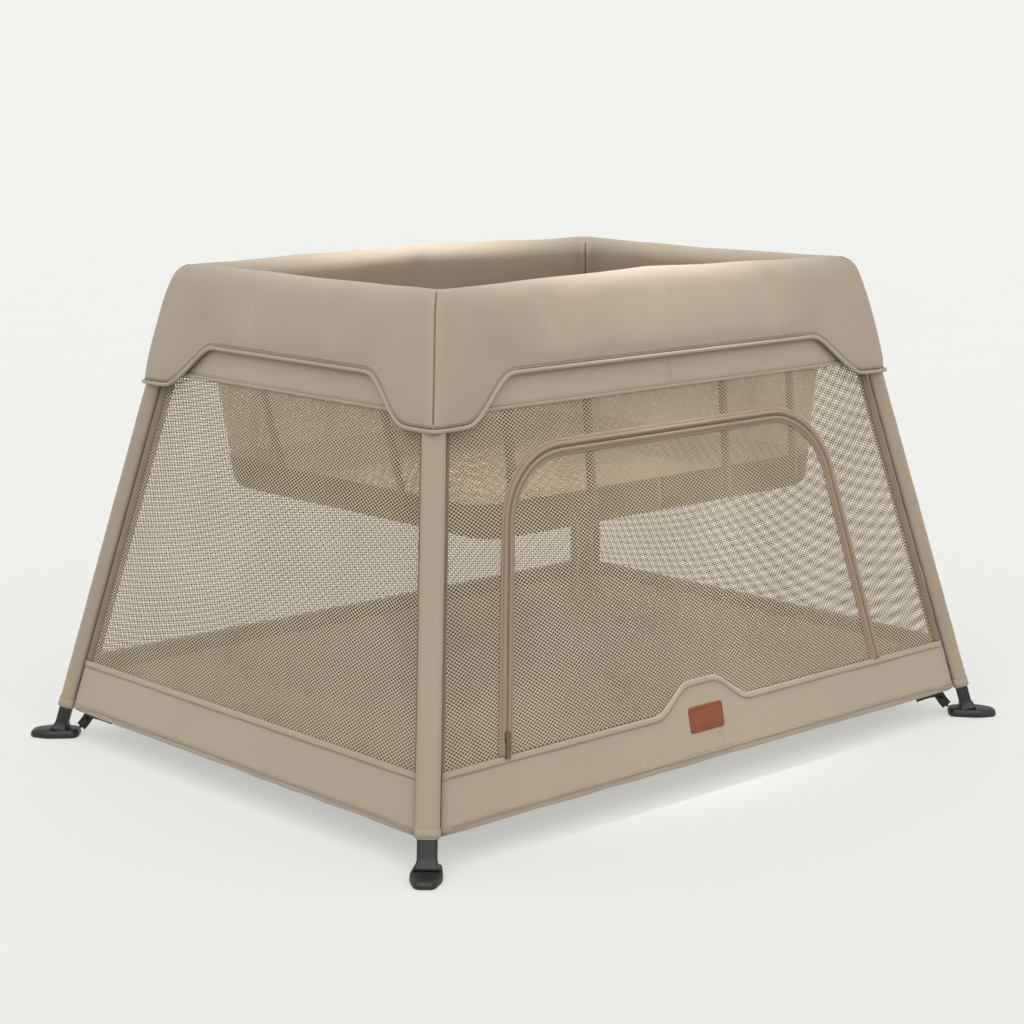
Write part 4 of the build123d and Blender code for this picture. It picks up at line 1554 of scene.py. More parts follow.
    def build_leg_strips(self, side: str, sx: int) -> None:
        """Plain strips that join the mesh to the leg sleeves, in cloth darkened as painted shade."""
        parts, rows = [], []
        low, high = PEN.skirt_top - 0.002, PEN.band_low + 0.002
        end = self.spans(sx)[1][0]
        edges = [(Wall.FRONT, sx), (Wall.BACK, sx), (end, -1), (end, 1)]
        for wall, way in edges:
            near = side == "left" and (wall is Wall.FRONT or (wall is end and way < 0))
            width = self.strip_narrow if near else self.strip_wide
            points, flat = [], []
            heights = np.linspace(low, high, 44)
            for height in heights:
                for inward in np.linspace(self.sleeve_edge, self.sleeve_edge + width, 5):
                    along = way * (wall.half(height) - inward)
                    bow = 0.0006 * sin(pi * (inward - self.sleeve_edge) / width)
                    points.append(wall.point(along, height, bow))
                    flat.append(wall_cut(along, height))
            parts.append(thicken(sheet_object("strip", points, len(heights), 5, flat), 0.0022))
            seam = self.sleeve_edge + width - 0.002
            line = [wall.point(way * (wall.half(z) - seam), z, 0.0017) for z in heights]
            rows.append(stitch_row("row", line, lambda p, w=wall: w.out()))
        strips = join(f"{side}_leg_strips", parts)
        # The strips take the darkened edging cloth, which paints the shade beside the leg sleeves.
        self.dress(strips, Finish.EDGING, f"{side}_frame", "plain_fabric")
        size = self.strip_wide, 4 * (high - low)
        self.dress(join(f"{side}_leg_strip_stitches", rows), Finish.THREAD, f"{side}_frame", "plain_fabric")


@dataclass
class ZipDoor(SubAssembly):
    """Door outline, the mesh round it, the flap, the tape and the coil."""

    top: float = 0.474
    foot: float = 0.117
    left_margin: float = 0.1236
    right_margin: float = 0.1691
    left_lean: float = 0.2112
    right_lean: float = 0.1715
    corner: float = 0.108
    tape: float = 0.022
    tooth: float = 0.0024
    walls: WallCloth | None = None

    def outline(self, grow: float = 0.0) -> np.ndarray:
        """Line of the zip from its left foot to its right foot, on the wall's flat cut.

        Args:
            grow: distance outside the line.

        Returns:
            Points on the flat cut.
        """
        low = wall_cut(0.0, self.foot - 0.002)[1]
        top = wall_cut(0.0, self.top)[1]
        rise = self.top - self.foot
        left = -PEN.half_x(self.foot) + self.left_margin
        right = PEN.half_x(self.foot) - self.right_margin
        corners = [
            (left, low),
            (left + self.left_lean * rise, top),
            (right - self.right_lean * rise, top),
            (right, low),
        ]
        line = spaced(fillet_path(corners, self.corner, 0.006), 0.006)
        ahead = np.gradient(line, axis=0)
        ahead /= np.linalg.norm(ahead, axis=1)[:, None]
        return line + np.stack([-ahead[:, 1], ahead[:, 0]], axis=1) * grow

    def half_outline(self, sx: int, grow: float = 0.0) -> np.ndarray:
        """Half of the zip's line, from its foot to the middle of the pen.

        Args:
            sx: side.
            grow: distance outside the line.

        Returns:
            Points on the flat cut, the last one on the middle line.
        """
        line = self.outline(grow)
        order = line if sx < 0 else line[::-1]
        keep = [p for p in order if sx * p[0] > 0.0005]
        keep.append(np.array([0.0, keep[-1][1]]))
        keep[0] = np.array([keep[0][0], wall_cut(0.0, self.foot - 0.002)[1]])
        return np.array(keep)

    def on_wall(self, spot: Sequence[float], proud: float = 0.0) -> np.ndarray:
        """Point of the front wall from its place on the flat cut."""
        return Wall.FRONT.point(spot[0], PEN.datum + spot[1] / PEN.stretch, proud)

    def build(self) -> None:
        """Build every piece of the front wall's mesh and zip."""
        for side, sx in SIDES.items():
            self.build_surround(side, sx)
            self.build_flap(side, sx)
            self.build_tape(side, sx)
        self.build_slider()

    def build_slider(self) -> None:
        """Slider at the foot of the zip, on the frame's slider body."""
        node = frame["nodes"]["zip_slider"]
        points = np.array([node.matrix_world @ v.co for v in node.data.vertices])
        faces = [tuple(p.vertices) for p in node.data.polygons]
        slider = mesh_object("zip_slider_body", points, faces)
        slider.data.shade_flat()
        self.dress(slider, Finish.ZIP_METAL, "zip_slider", "zip_metal", ["zip_slider"])

    def build_surround(self, side: str, sx: int) -> None:
        """Mesh between the zip and the edges of the front wall."""
        inner = spaced(self.half_outline(sx, self.tape / 2 - 0.003), 0.008)
        turn = int(np.argmin(np.abs(inner[:, 0] - sx * (abs(inner[0, 0]) - 0.098))))
        low, high = PEN.skirt_top - 0.002, PEN.band_low + 0.003
        legs = [(sx * (PEN.half_x(z) - PEN.wall_edge), wall_cut(0, z)[1]) for z in (low, high)]
        up = np.linspace(legs[0], legs[1], turn + 1)
        over = np.linspace(legs[1], (0.0, legs[1][1]), len(inner) - turn)[1:]
        outer = np.concatenate([up, over])
        layers = 14
        flat = [a + (b - a) * t for a, b in zip(inner, outer) for t in np.linspace(0, 1, layers)]
        points = [self.on_wall(p, ripple(p[0], p[1], 0.0010, 4.0)) for p in flat]
        sheet = sheet_object(f"{side}_front_mesh_cloth", points, len(inner), layers, flat)
        self.dress(sheet, Finish.MESH, f"{side}_frame", "mesh_fabric", [f"{side}_front_mesh"])

    def build_flap(self, side: str, sx: int) -> None:
        """Mesh flap inside the zip, hinged along its foot."""
        edge = self.half_outline(sx, -self.tape / 2 + 0.003)
        foot, top = edge[0][1] + 0.002, edge[-1][1]
        rows, columns = 56, 34
        round_top = 1 - 0.2 * np.linspace(1, 0, 20) ** 2
        heights = np.concatenate([np.linspace(0, 0.8, rows - 20, endpoint=False), round_top])
        points, flat = [], []
        for share in heights:
            level = foot + (top - 0.0004 - foot) * share
            side_x = float(np.interp(level, edge[:, 1], np.abs(edge[:, 0])))
            for t in np.linspace(0.0, 1.0, columns):
                along = sx * side_x * t
                base = max(wall_cut(0.0, self.walls.arch(along) - 0.003)[1], foot)
                place = base + (level - foot) * (top - base) / (top - foot)
                flat.append((along, place))
                points.append(self.on_wall((along, place), ripple(along, place, 0.0010, 4.0)))
        sheet = sheet_object(f"{side}_door_mesh_cloth", points, rows, columns, flat)
        self.dress(sheet, Finish.MESH, f"{side}_door", "mesh_fabric", [f"{side}_door_flap"])
        outline = [flat[r * columns + columns - 1] for r in range(rows)]
        area = outline_area([flat[c] for c in range(columns)] + outline + [flat[(rows - 1) * columns]])

    def build_tape(self, side: str, sx: int) -> None:
        """Zip tape with two lips, the coil between them and two rows of stitches."""
        line = spaced(self.half_outline(sx), 0.0045)
        path = np.array([self.on_wall(p) for p in line])
        up = np.tile(Wall.FRONT.out(), (len(path), 1))
        half = self.tape / 2
        lip = [(0.0016, 0.0016), (0.0024, 0.0034), (0.0040, 0.0040), (0.0058, 0.0030), (0.0068, 0.0014)]
        lip += [(half - 0.0025, 0.0012), (half, 0.0006)]
        section = [(-a, b) for a, b in lip[::-1]] + lip
        tape = sweep(f"{side}_zip_tape_cloth", path, section, up=up, open_section=True)
        thicken(tape, 0.0011)
        self.dress(tape, Finish.TAPE, f"{side}_frame", "zip_tape", [f"{side}_zip_tape"])
        fine = spaced(path, self.tooth / 2)
        teeth = sweep(
            f"{side}_zip_coil", fine + Wall.FRONT.out() * 0.0026,
            lambda i, _: [(1.15 * a, b) for a, b in disc(0.00125 if i % 2 else 0.00085, 8)],
            up=up[:1].repeat(len(fine), axis=0),
        )
        self.dress(teeth, Finish.COIL, f"{side}_frame", "zip_tape")
        rows = []
        for shift in (-half + 0.0035, half - 0.0035):
            row = [self.on_wall(p, 0.0021) for p in self.half_outline(sx, shift)[1:]]
            rows.append(stitch_row("row", row, lambda p: Wall.FRONT.out()))
        self.dress(join(f"{side}_zip_stitches", rows), Finish.THREAD, f"{side}_frame", "zip_tape")


@dataclass
class PlainMesh(SubAssembly):
    """Mesh of the back wall and the end walls."""

    def build(self) -> None:
        """Build the two end meshes and the two halves of the back mesh."""
        for side, sx in SIDES.items():
            self.panel(f"{side}_back_mesh_cloth", Wall.BACK, 0.0, float(sx), side, f"{side}_back_mesh")
            end = Wall.LEFT if sx < 0 else Wall.RIGHT
            self.panel(f"{side}_end_mesh_cloth", end, -1.0, 1.0, side, f"{side}_end_mesh")

    def panel(self, name: str, wall: Wall, start: float, stop: float, side: str, node: str) -> None:
        """One panel of mesh.

        Args:
            name: name of the piece.
            wall: its wall.
            start: where it starts, as a share of the wall's half length.
            stop: where it stops.
            side: side of the pen.
            node: frame node that it stands for.
        """
        low, high = PEN.skirt_top - 0.002, PEN.band_low + 0.003
        bias = {Wall.LEFT: 0.0, Wall.RIGHT: 0.42}.get(wall, 0.75)
        columns, rows = 50, 34
        points, flat = [], []
        for t in np.linspace(start, stop, columns):
            for z in np.linspace(low, high, rows):
                along = t * (wall.half(z) - PEN.wall_edge)
                points.append(wall.point(along, z, ripple(along, z, 0.0009, 21.0, 8.0)))
                u, v = wall_cut(along, z)
                flat.append((u * cos(bias) - v * sin(bias), u * sin(bias) + v * cos(bias)))
        sheet = sheet_object(name, points, columns, rows, flat)
        self.dress(sheet, Finish.MESH, f"{side}_frame", "mesh_fabric", [node])
        foot = abs(stop - start) * (wall.half(low) - PEN.wall_edge)
        head = abs(stop - start) * (wall.half(high) - PEN.wall_edge)
        rise = (high - low) * PEN.stretch
        (foot + head) / 2 * rise


@dataclass
class LegSleeves(SubAssembly):
    """Cloth sleeves over the four legs."""

    low: float = 0.047
    high: float = 0.570
    across: float = 0.0143
    deep: float = 0.0102
    rounding: float = 0.0055

    def build(self) -> None:
        """Build a sleeve, its hem and its seam for each leg."""
        for name, sx, sy in LEGS:
            self.sleeve(name, sx, sy)

    def section(self, grow: float) -> list[Point2]:
        """Rounded outline of a sleeve."""
        return rounded(self.across + grow, self.deep + grow, self.rounding, 4)

    def sleeve(self, name: str, sx: int, sy: int) -> None:
        """One sleeve.

        Args:
            name: leg's name.
            sx: side of the pen.
            sy: front or back.
        """
        foot, head = PEN.leg_point(sx, sy, self.low), PEN.leg_point(sx, sy, self.high)
        line = spaced(np.array([foot, head]), 0.008)
        diagonal = np.array([sx, sy, 0.0]) / 2**0.5
        up = np.tile(diagonal, (len(line), 1))
        seed = 3.0 * sx + 5.0 * sy

        def outline(_: int, run: float) -> list[Point2]:
            """Outline of the cloth a distance up the leg."""
            low_down = 1.0 - ease(run / 0.05)
            shape = []
            for a, b in self.section(0.0):
                turn = atan2(b, a)
                fold = noise.noise(Vector((cos(turn) * 1.4 + seed, sin(turn) * 1.4, run * 26.0)))
                slack = noise.noise(Vector((seed, turn, run * 120.0))) * low_down
                push = 0.00035 * fold + 0.0004 * slack - 0.0003
                size = hypot(a, b)
                shape.append((a * (1 + push / size), b * (1 + push / size)))
            return shape

        cloth = sweep(f"{name}_sleeve_cloth", line, outline, up=up)
        self.open_ends(cloth)
        thicken(cloth, 0.0012)
        body = f"{name}_leg"
        self.dress(cloth, Finish.SLEEVE, body, "sleeve_fabric", [f"{name}_leg_sleeve"], gathers=False)
        along = (head - foot) / np.linalg.norm(head - foot)
        hem_line = np.array([foot - along * 0.0005, foot + along * 0.005, foot + along * 0.012])
        hem = sweep(f"{name}_sleeve_hem", hem_line, self.section(0.0007), up=up[:3])
        self.open_ends(hem)
        thicken(hem, 0.0010)
        self.dress(hem, Finish.SLEEVE, body, "sleeve_fabric", gathers=False)
        across = np.cross(along, diagonal)
        ring = self.section(0.0011)
        loop = [foot + along * 0.009 + across * a + diagonal * b for a, b in ring + ring[:1]]
        middle = foot + along * 0.009
        around = lambda p: (p - middle) / (np.linalg.norm(p - middle) + 1e-9)
        seam = [foot + along * t - diagonal * (self.deep + 0.0002) for t in np.linspace(0.014, 0.52, 80)]
        rows = [stitch_row("row", loop, around), stitch_row("row", seam, lambda p: -diagonal)]
        self.dress(join(f"{name}_sleeve_stitches", rows), Finish.THREAD, body, "sleeve_fabric", gathers=False)

    def open_ends(self, obj: bpy.types.Object) -> None:
        """Take the end caps off a tube."""
        with editing(obj) as work:
            caps = [f for f in work.faces if len(f.verts) > 4]
            bmesh.ops.delete(work, geom=caps, context="FACES_ONLY")


@dataclass
class Insert(SubAssembly):
    """Raised sleeping insert: rim band, mesh walls, straps, lower band and floor."""

    rim: float = 0.596
    floor: float = 0.358
    rim_half: Point2 = (0.3785, 0.2585)
    floor_half: Point2 = (0.316, 0.280)
    corner: float = 0.036
    rim_band: float = 0.044
    low_band: float = 0.047
    strap: float = 0.016

    def ring(self, height: float, grow: float = 0.0) -> tuple[np.ndarray, np.ndarray]:
        """Outline of the insert at a height, from the back of the middle round one end to the front.

        Args:
            height: height of the outline.
            grow: distance outside it.

        Returns:
            Points for the right side, and the outward direction at each.
        """
        share = (height - self.floor) / (self.rim - self.floor)
        a = self.floor_half[0] + (self.rim_half[0] - self.floor_half[0]) * share + grow
        b = self.floor_half[1] + (self.rim_half[1] - self.floor_half[1]) * share + grow
        r = self.corner
        points, out = [], []
        for t in np.linspace(0.0, 1.0, 30, endpoint=False):
            points.append((t * (a - r), -b, height))
            out.append((0.0, -1.0, 0.0))
        for k in range(10):
            angle = radians(-90.0 + 9.0 * k)
            points.append((a - r + r * cos(angle), -b + r + r * sin(angle), height))
            out.append((cos(angle), sin(angle), 0.0))
        for t in np.linspace(-1.0, 1.0, 40, endpoint=False):
            points.append((a, t * (b - r), height))
            out.append((1.0, 0.0, 0.0))
        for k in range(10):
            angle = radians(9.0 * k)
            points.append((a - r + r * cos(angle), b - r + r * sin(angle), height))
            out.append((cos(angle), sin(angle), 0.0))
        for t in np.linspace(1.0, 0.0, 31):
            points.append((t * (a - r), b, height))
            out.append((0.0, 1.0, 0.0))
        return np.array(points), np.array(out)

    def wrap(self, name: str, sx: int, levels: Sequence[tuple[float, float]], thick: float) -> tuple:
        """Band of cloth round one half of the insert.

        Args:
            name: name of the piece.
            sx: side.
            levels: height and distance out of each row.
            thick: thickness, or 0 for a single layer.

        Returns:
            The piece and its flat length and depth.
        """
        points, flat = [], []
        depth, length, before = 0.0, 0.0, levels[0]
        for height, grow in levels:
            depth += hypot(height - before[0], grow - before[1]) * 1.03
            before = (height, grow)
            ring, out = self.ring(height, grow)
            sag = [ripple(p[0] * 1.3 + p[1], height, 0.0014, 31.0, 12.0) for p in ring]
            ring = ring + out * np.array(sag)[:, None]
            run = runs_of(ring)
            length = max(length, float(run[-1]))
            for p, u in zip(ring, run):
                points.append((sx * p[0], p[1], p[2]))
                flat.append((u - run[-1] / 2, depth))
        columns = len(points) // len(levels)
        sheet = sheet_object(name, points, len(levels), columns, flat)
        if thick > 0:
            thicken(sheet, thick)
        return sheet, length, depth

    def build(self) -> None:
        """Build the insert's pieces for both halves."""
        for side, sx in SIDES.items():
            self.build_half(side, sx)

    def build_half(self, side: str, sx: int) -> None:
        """Every piece of one half."""
        frame_body = f"{side}_frame"
        low, high = self.floor + self.low_band, self.rim - self.rim_band
        heights = [(z, -0.0008) for z in np.linspace(low - 0.002, high + 0.002, 18)]
        walls, length, depth = self.wrap(f"{side}_insert_mesh_cloth", sx, heights, 0.0)
        self.dress(walls, Finish.INSERT_MESH, frame_body, "insert_fabric", [f"{side}_insert"])
        heights = [(z, 0.0) for z in np.linspace(high, self.rim, 5)]
        rim, length, depth = self.wrap(f"{side}_insert_rim", sx, heights, 0.002)
        self.dress(rim, Finish.INSERT, frame_body, "insert_fabric")
        roll = [(self.floor + 0.0002, -0.016), (self.floor + 0.0012, -0.007), (self.floor + 0.006, -0.0022)]
        roll += [(z, 0.0) for z in np.linspace(self.floor + 0.014, low, 6)]
        tray, length, depth = self.wrap(f"{side}_insert_low_band", sx, roll, 0.002)
        self.dress(tray, Finish.INSERT, frame_body, "insert_fabric")
        self.build_floor(side, sx)
        self.build_straps(side, sx)

    def build_floor(self, side: str, sx: int) -> None:
        """Flat floor of the insert."""
        ring, _ = self.ring(self.floor + 0.0012, -0.014)
        layers = 12
        points, flat = [], []
        for t in np.linspace(0.0, 1.0, layers):
            for p in ring:
                x, y = sx * p[0] * (1 - t), p[1]
                points.append((x, y, p[2] + ripple(x, y, 0.0008, 41.0, 8.0)))
                flat.append((x, y))
        sheet = sheet_object(f"{side}_insert_floor_cloth", points, layers, len(ring), flat)
        thicken(sheet, 0.0018)
        # The insert floor takes the mattress cloth, darkened in part as painted shade.
        self.dress(sheet, Finish.MATTRESS, f"{side}_frame", "insert_fabric")

    def build_straps(self, side: str, sx: int) -> None:
        """Vertical tapes that carry the insert, sewn on its walls."""
        spots = [("long", -1, 0.13), ("long", 1, 0.13), ("long", -1, 0.27), ("long", 1, 0.27)]
        spots += [("end", 0, -0.13), ("end", 0, 0.13)]
        parts, total = [], 0.0
        for kind, sy, place in spots:
            line = []
            for z in np.linspace(self.floor + 0.012, self.rim - 0.004, 22):
                share = (z - self.floor) / (self.rim - self.floor)
                a = self.floor_half[0] + (self.rim_half[0] - self.floor_half[0]) * share
                b = self.floor_half[1] + (self.rim_half[1] - self.floor_half[1]) * share
                if kind == "long":
                    line.append((sx * place, sy * (b + 0.0024), z))
                else:
                    line.append((sx * (a + 0.0024), place, z))
            line = np.array(line)
            normal = (0.0, float(sy), 0.0) if kind == "long" else (float(sx), 0.0, 0.0)
            half = self.strap / 2
            section = [(-half, -0.0006), (half, -0.0006), (half, 0.0006), (-half, 0.0006)]
            parts.append(sweep("strap", line, section, up=np.tile(normal, (len(line), 1))))
            total += float(runs_of(line)[-1])
        straps = join(f"{side}_insert_straps", parts)
        self.dress(straps, Finish.INSERT, f"{side}_frame", "insert_fabric")


@dataclass
class Base(SubAssembly):
    """Cloth floor in two halves and the mattress on it."""

    floor: float = 0.0455
    inset: float = 0.021
    step: float = 0.016

    def build(self) -> None:
        """Build the floor cloths and the mattress."""
        for side, sx in SIDES.items():
            self.build_floor(side, sx)
        self.build_mattress()

    def build_floor(self, side: str, sx: int) -> None:
        """Floor cloth of one half."""
        a, b = PEN.half_x(self.floor) - self.inset, PEN.half_y(self.floor) - self.inset
        columns, rows = 30, 40
        points, flat = [], []
        for x in np.linspace(0.0, a, columns):
            for y in np.linspace(-b, b, rows):
                points.append((sx * x, y, self.floor + ripple(x, y, 0.0004, 51.0)))
                flat.append((sx * x, y))
        sheet = sheet_object(f"{side}_floor_cloth", points, columns, rows, flat)
        thicken(sheet, 0.0018)
        # The floor cloth takes the mattress cloth, darkened in part as painted shade.
        self.dress(sheet, Finish.MATTRESS, f"{side}_frame", "floor_fabric", [f"{side}_floor"])
        2 * b

    def build_mattress(self) -> None:
        """Padded mattress, swollen between its edge seams."""
        low, high = (Vector(v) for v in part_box("mattress"))
        half_x, half_y = (high.x - low.x) / 2 - 0.001, (high.y - low.y) / 2 - 0.001
        bottom, top = low.z + 0.0012, high.z - 0.003
        nx, ny = 2 * int(half_x / self.step), 2 * int(half_y / self.step)
        corner = 0.030

        def spot(i: int, j: int, shrink: float) -> Point2:
            """Place of a grid point on the flat pad, drawn in by a margin."""
            u, v = 2.0 * i / nx - 1.0, 2.0 * j / ny - 1.0
            x, y = u * (half_x - shrink), v * (half_y - shrink)
            cx, cy = abs(x) - (half_x - shrink - corner), abs(y) - (half_y - shrink - corner)
            if cx > 0 and cy > 0:
                pull = max(cx, cy) / max(hypot(cx, cy), 1e-9)
                x = np.sign(x) * (half_x - shrink - corner + cx * pull)
                y = np.sign(y) * (half_y - shrink - corner + cy * pull)
            return float(x), float(y)

        points: list[tuple[float, float, float]] = []
        faces: list[tuple[int, ...]] = []
        number: dict[tuple[int, int, int], int] = {}

        def add(i: int, j: int, layer: int, shrink: float, height: float) -> int:
            """Number of a point of the shell, which is made when it is first asked for."""
            key = (i, j, layer)
            if key not in number:
                x, y = spot(i, j, shrink)
                number[key] = len(points)
                points.append((x, y, height))
            return number[key]

        edge = [(i, 0) for i in range(nx)] + [(nx, j) for j in range(ny)]
        edge += [(i, ny) for i in range(nx, 0, -1)] + [(0, j) for j in range(ny, 0, -1)]
        depth = top - bottom
        levels = [(0.0035, bottom), (0.0, bottom + 0.006), (0.0, bottom + depth * 0.35)]
        levels += [(0.0, bottom + depth * 0.65), (0.0, top - 0.006), (0.0035, top)]
        for layer in (0, len(levels) - 1):
            shrink, height = levels[layer]
            for i in range(nx):
                for j in range(ny):
                    quad = ((i, j), (i + 1, j), (i + 1, j + 1), (i, j + 1))
                    faces.append(tuple(add(*c, layer, shrink, height) for c in quad))
        for layer in range(len(levels) - 1):
            for (i, j), (k, m) in zip(edge, edge[1:] + edge[:1]):
                quad = ((i, j, layer), (k, m, layer), (k, m, layer + 1), (i, j, layer + 1))
                faces.append(tuple(add(*c, *levels[c[2]]) for c in quad))
        pad = face_outward(mesh_object("mattress_pad", points, faces))
        last = len(levels) - 1
        rims, folds = set(edge), (nx // 4, nx // 2, 3 * nx // 4)
        held = set()
        for (i, j, layer), n in number.items():
            seam = (i, j) in rims and layer in (0, 1, last - 1, last)
            if seam or layer == 0 or (layer == last and i in folds):
                held.add(n)
        Stuffing(pressure=3.0, reach=0.004, slack=-0.01).swell(pad, held)
        refine(pad)
        # The mattress cloth is darkened in part as painted shade of the pen's inside.
        self.dress(pad, Finish.MATTRESS, "mattress", "mattress_fabric", ["mattress"], gathers=False)
        rim = []
        for height in (bottom + 0.005, top - 0.004):
            loop = [(*spot(i, j, -0.0004), height) for i, j in edge]
            rim.append(sweep("piping", spaced(loop + loop[:1], 0.008)[:-1], disc(0.0022), closed=True))
        piping = join("mattress_piping", rim)
        self.dress(piping, Finish.BINDING, "mattress", "mattress_fabric", gathers=False)


@dataclass
class Trim(SubAssembly):
    """Sewn patch, and foot straps with their hooks."""

    patch_x: float = -0.025
    patch_z: float = 0.0985
    patch_half: Point2 = (0.0325, 0.0175)
    patch_corner: float = 0.0045
    strap_width: float = 0.020

    def build(self) -> None:
        """Build the patch and the straps."""
        self.build_patch()
        for side, sx in SIDES.items():
            self.build_straps(side, sx)

    def build_patch(self) -> None:
        """Leather patch, crowned a little, with a stitched edge."""
        a, b = self.patch_half
        rings = [(0.0, 0.0019), (0.0, 0.0028), (0.0006, 0.0034), (0.003, 0.0035), (0.0042, 0.0032)]
        rings += [(0.0054, 0.0035), (0.010, 0.0037), (0.0174, 0.0038)]
        points, flat = [], []
        for inset, out in rings:
            x_half, y_half = max(a - inset, 0.0151), max(b - inset, 0.0001)
            for x, y in rounded(x_half, y_half, min(self.patch_corner, y_half), 5):
                points.append(self.on_patch(x, y, out))
                flat.append((x, y))
        faces = tube_faces(len(rings), len(points) // len(rings))
        patch = face_outward(mesh_object("leather_patch", points, faces, flat))
        body = self.body_of_patch()
        self.dress(patch, Finish.PATCH, body, "patch_leather", ["sewn_patch"])
        corners = [(-1, -1), (1, -1), (1, 1), (-1, 1), (-1, -1)]
        ends = [self.on_patch(x * (a - 0.003), y * (b - 0.003), 0.0036) for x, y in corners]
        rows = [
            stitch_row("row", pair, lambda p: Wall.FRONT.out(), length=0.0022, gap=0.0011, thick=0.0004)
            for pair in zip(ends[:-1], ends[1:])
        ]
        self.dress(join("patch_stitches", rows), Finish.PATCH, body, "patch_leather")

    def on_patch(self, x: float, y: float, out: float) -> np.ndarray:
        """Point on the patch, from its place on the patch and its distance off the wall."""
        return Wall.FRONT.point(self.patch_x + x, self.patch_z + y / PEN.stretch, out)

    def body_of_patch(self) -> str:
        """Body that carries the patch in the frame."""
        bodies = frame["record"]["behaviour"]["bodies"]
        return next(name for name, nodes in bodies.items() if "sewn_patch" in str(nodes))

    def build_straps(self, side: str, sx: int) -> None:
        """Webbing from the floor's corners to the feet, with hooks and loose tails."""
        parts, hooks, total = [], [], 0.0
        half, tall = self.strap_width / 2, self.strap_width * 0.36
        for sy in (-1, 1):
            foot, (diagonal, across) = PEN.leg_point(sx, sy, 0.0), diagonals(sx, sy)

            def spot(out: float, height: float, aside: float = 0.0) -> np.ndarray:
                """Point near the foot: distance out of the corner, height, and place across it."""
                return foot + diagonal * out + across * aside + np.array([0.0, 0.0, height])

            runs = [
                [spot(-0.066, 0.0425), spot(-0.056, 0.0400), spot(-0.047, 0.0330), spot(-0.040, 0.0220),
                 spot(-0.0330, 0.0140)],
                [spot(-0.046, 0.0335), spot(-0.056, 0.0325), spot(-0.068, 0.0290), spot(-0.080, 0.0240)],
            ]
            for points in runs:
                line = spaced(self.smooth(np.array(points)), 0.003)
                section = [(-tall, -0.0008), (tall, -0.0008), (tall, 0.0008), (-tall, 0.0008)]
                normals = np.tile(across + np.array([0.0, 0.0, 0.12]), (len(line), 1))
                parts.append(sweep("strap", line, section, up=normals))
                total += float(runs_of(line)[-1])
            hooks.append(self.hook(spot, half))
        straps = join(f"{side}_foot_webbing", parts)
        self.dress(straps, Finish.WEBBING, f"{side}_frame", "black_webbing", [f"{side}_foot_straps"])
        self.dress(join(f"{side}_strap_hooks", hooks), Finish.PLASTIC, f"{side}_frame", "black_webbing")

    def smooth(self, points: np.ndarray) -> np.ndarray:
        """Round a short route by cutting its corners three times."""
        line = points
        for _ in range(3):
            a, b = line[:-1], line[1:]
            inner = np.stack([a * 0.75 + b * 0.25, a * 0.25 + b * 0.75], axis=1).reshape(-1, 3)
            line = np.vstack([line[:1], inner, line[-1:]])
        return line

    def hook(self, spot: Callable[..., np.ndarray], half: float) -> bpy.types.Object:
        """Moulded hook that clips a strap to its foot.

        Args:
            spot: gives a point from distance out, height and distance aside.
            half: half width of the strap.

        Returns:
            The hook.
        """
        wide, rod = half * 0.55, 0.0024
        low, high = (-0.0335, 0.0150), (-0.0430, 0.0260)
        corners = np.array([spot(*low, -wide), spot(*low, wide), spot(*high, wide), spot(*high, -wide)])
        line = []
        for here, there in zip(corners, np.roll(corners, -1, 0)):
            line += [here + (there - here) * t for t in np.linspace(0.14, 0.86, 5)]
        pieces = [sweep("rod", line, disc(rod), closed=True)]
        for out, height in ((-0.0385, 0.0210), (-0.0735, 0.0275), (-0.0790, 0.0250)):
            bar = [spot(out, height, -wide), spot(out, height + 0.0006, 0.0), spot(out, height, wide)]
            pieces.append(sweep("bar", spaced(np.array(bar), 0.004), disc(rod * 0.8)))
        return join("hook", pieces)


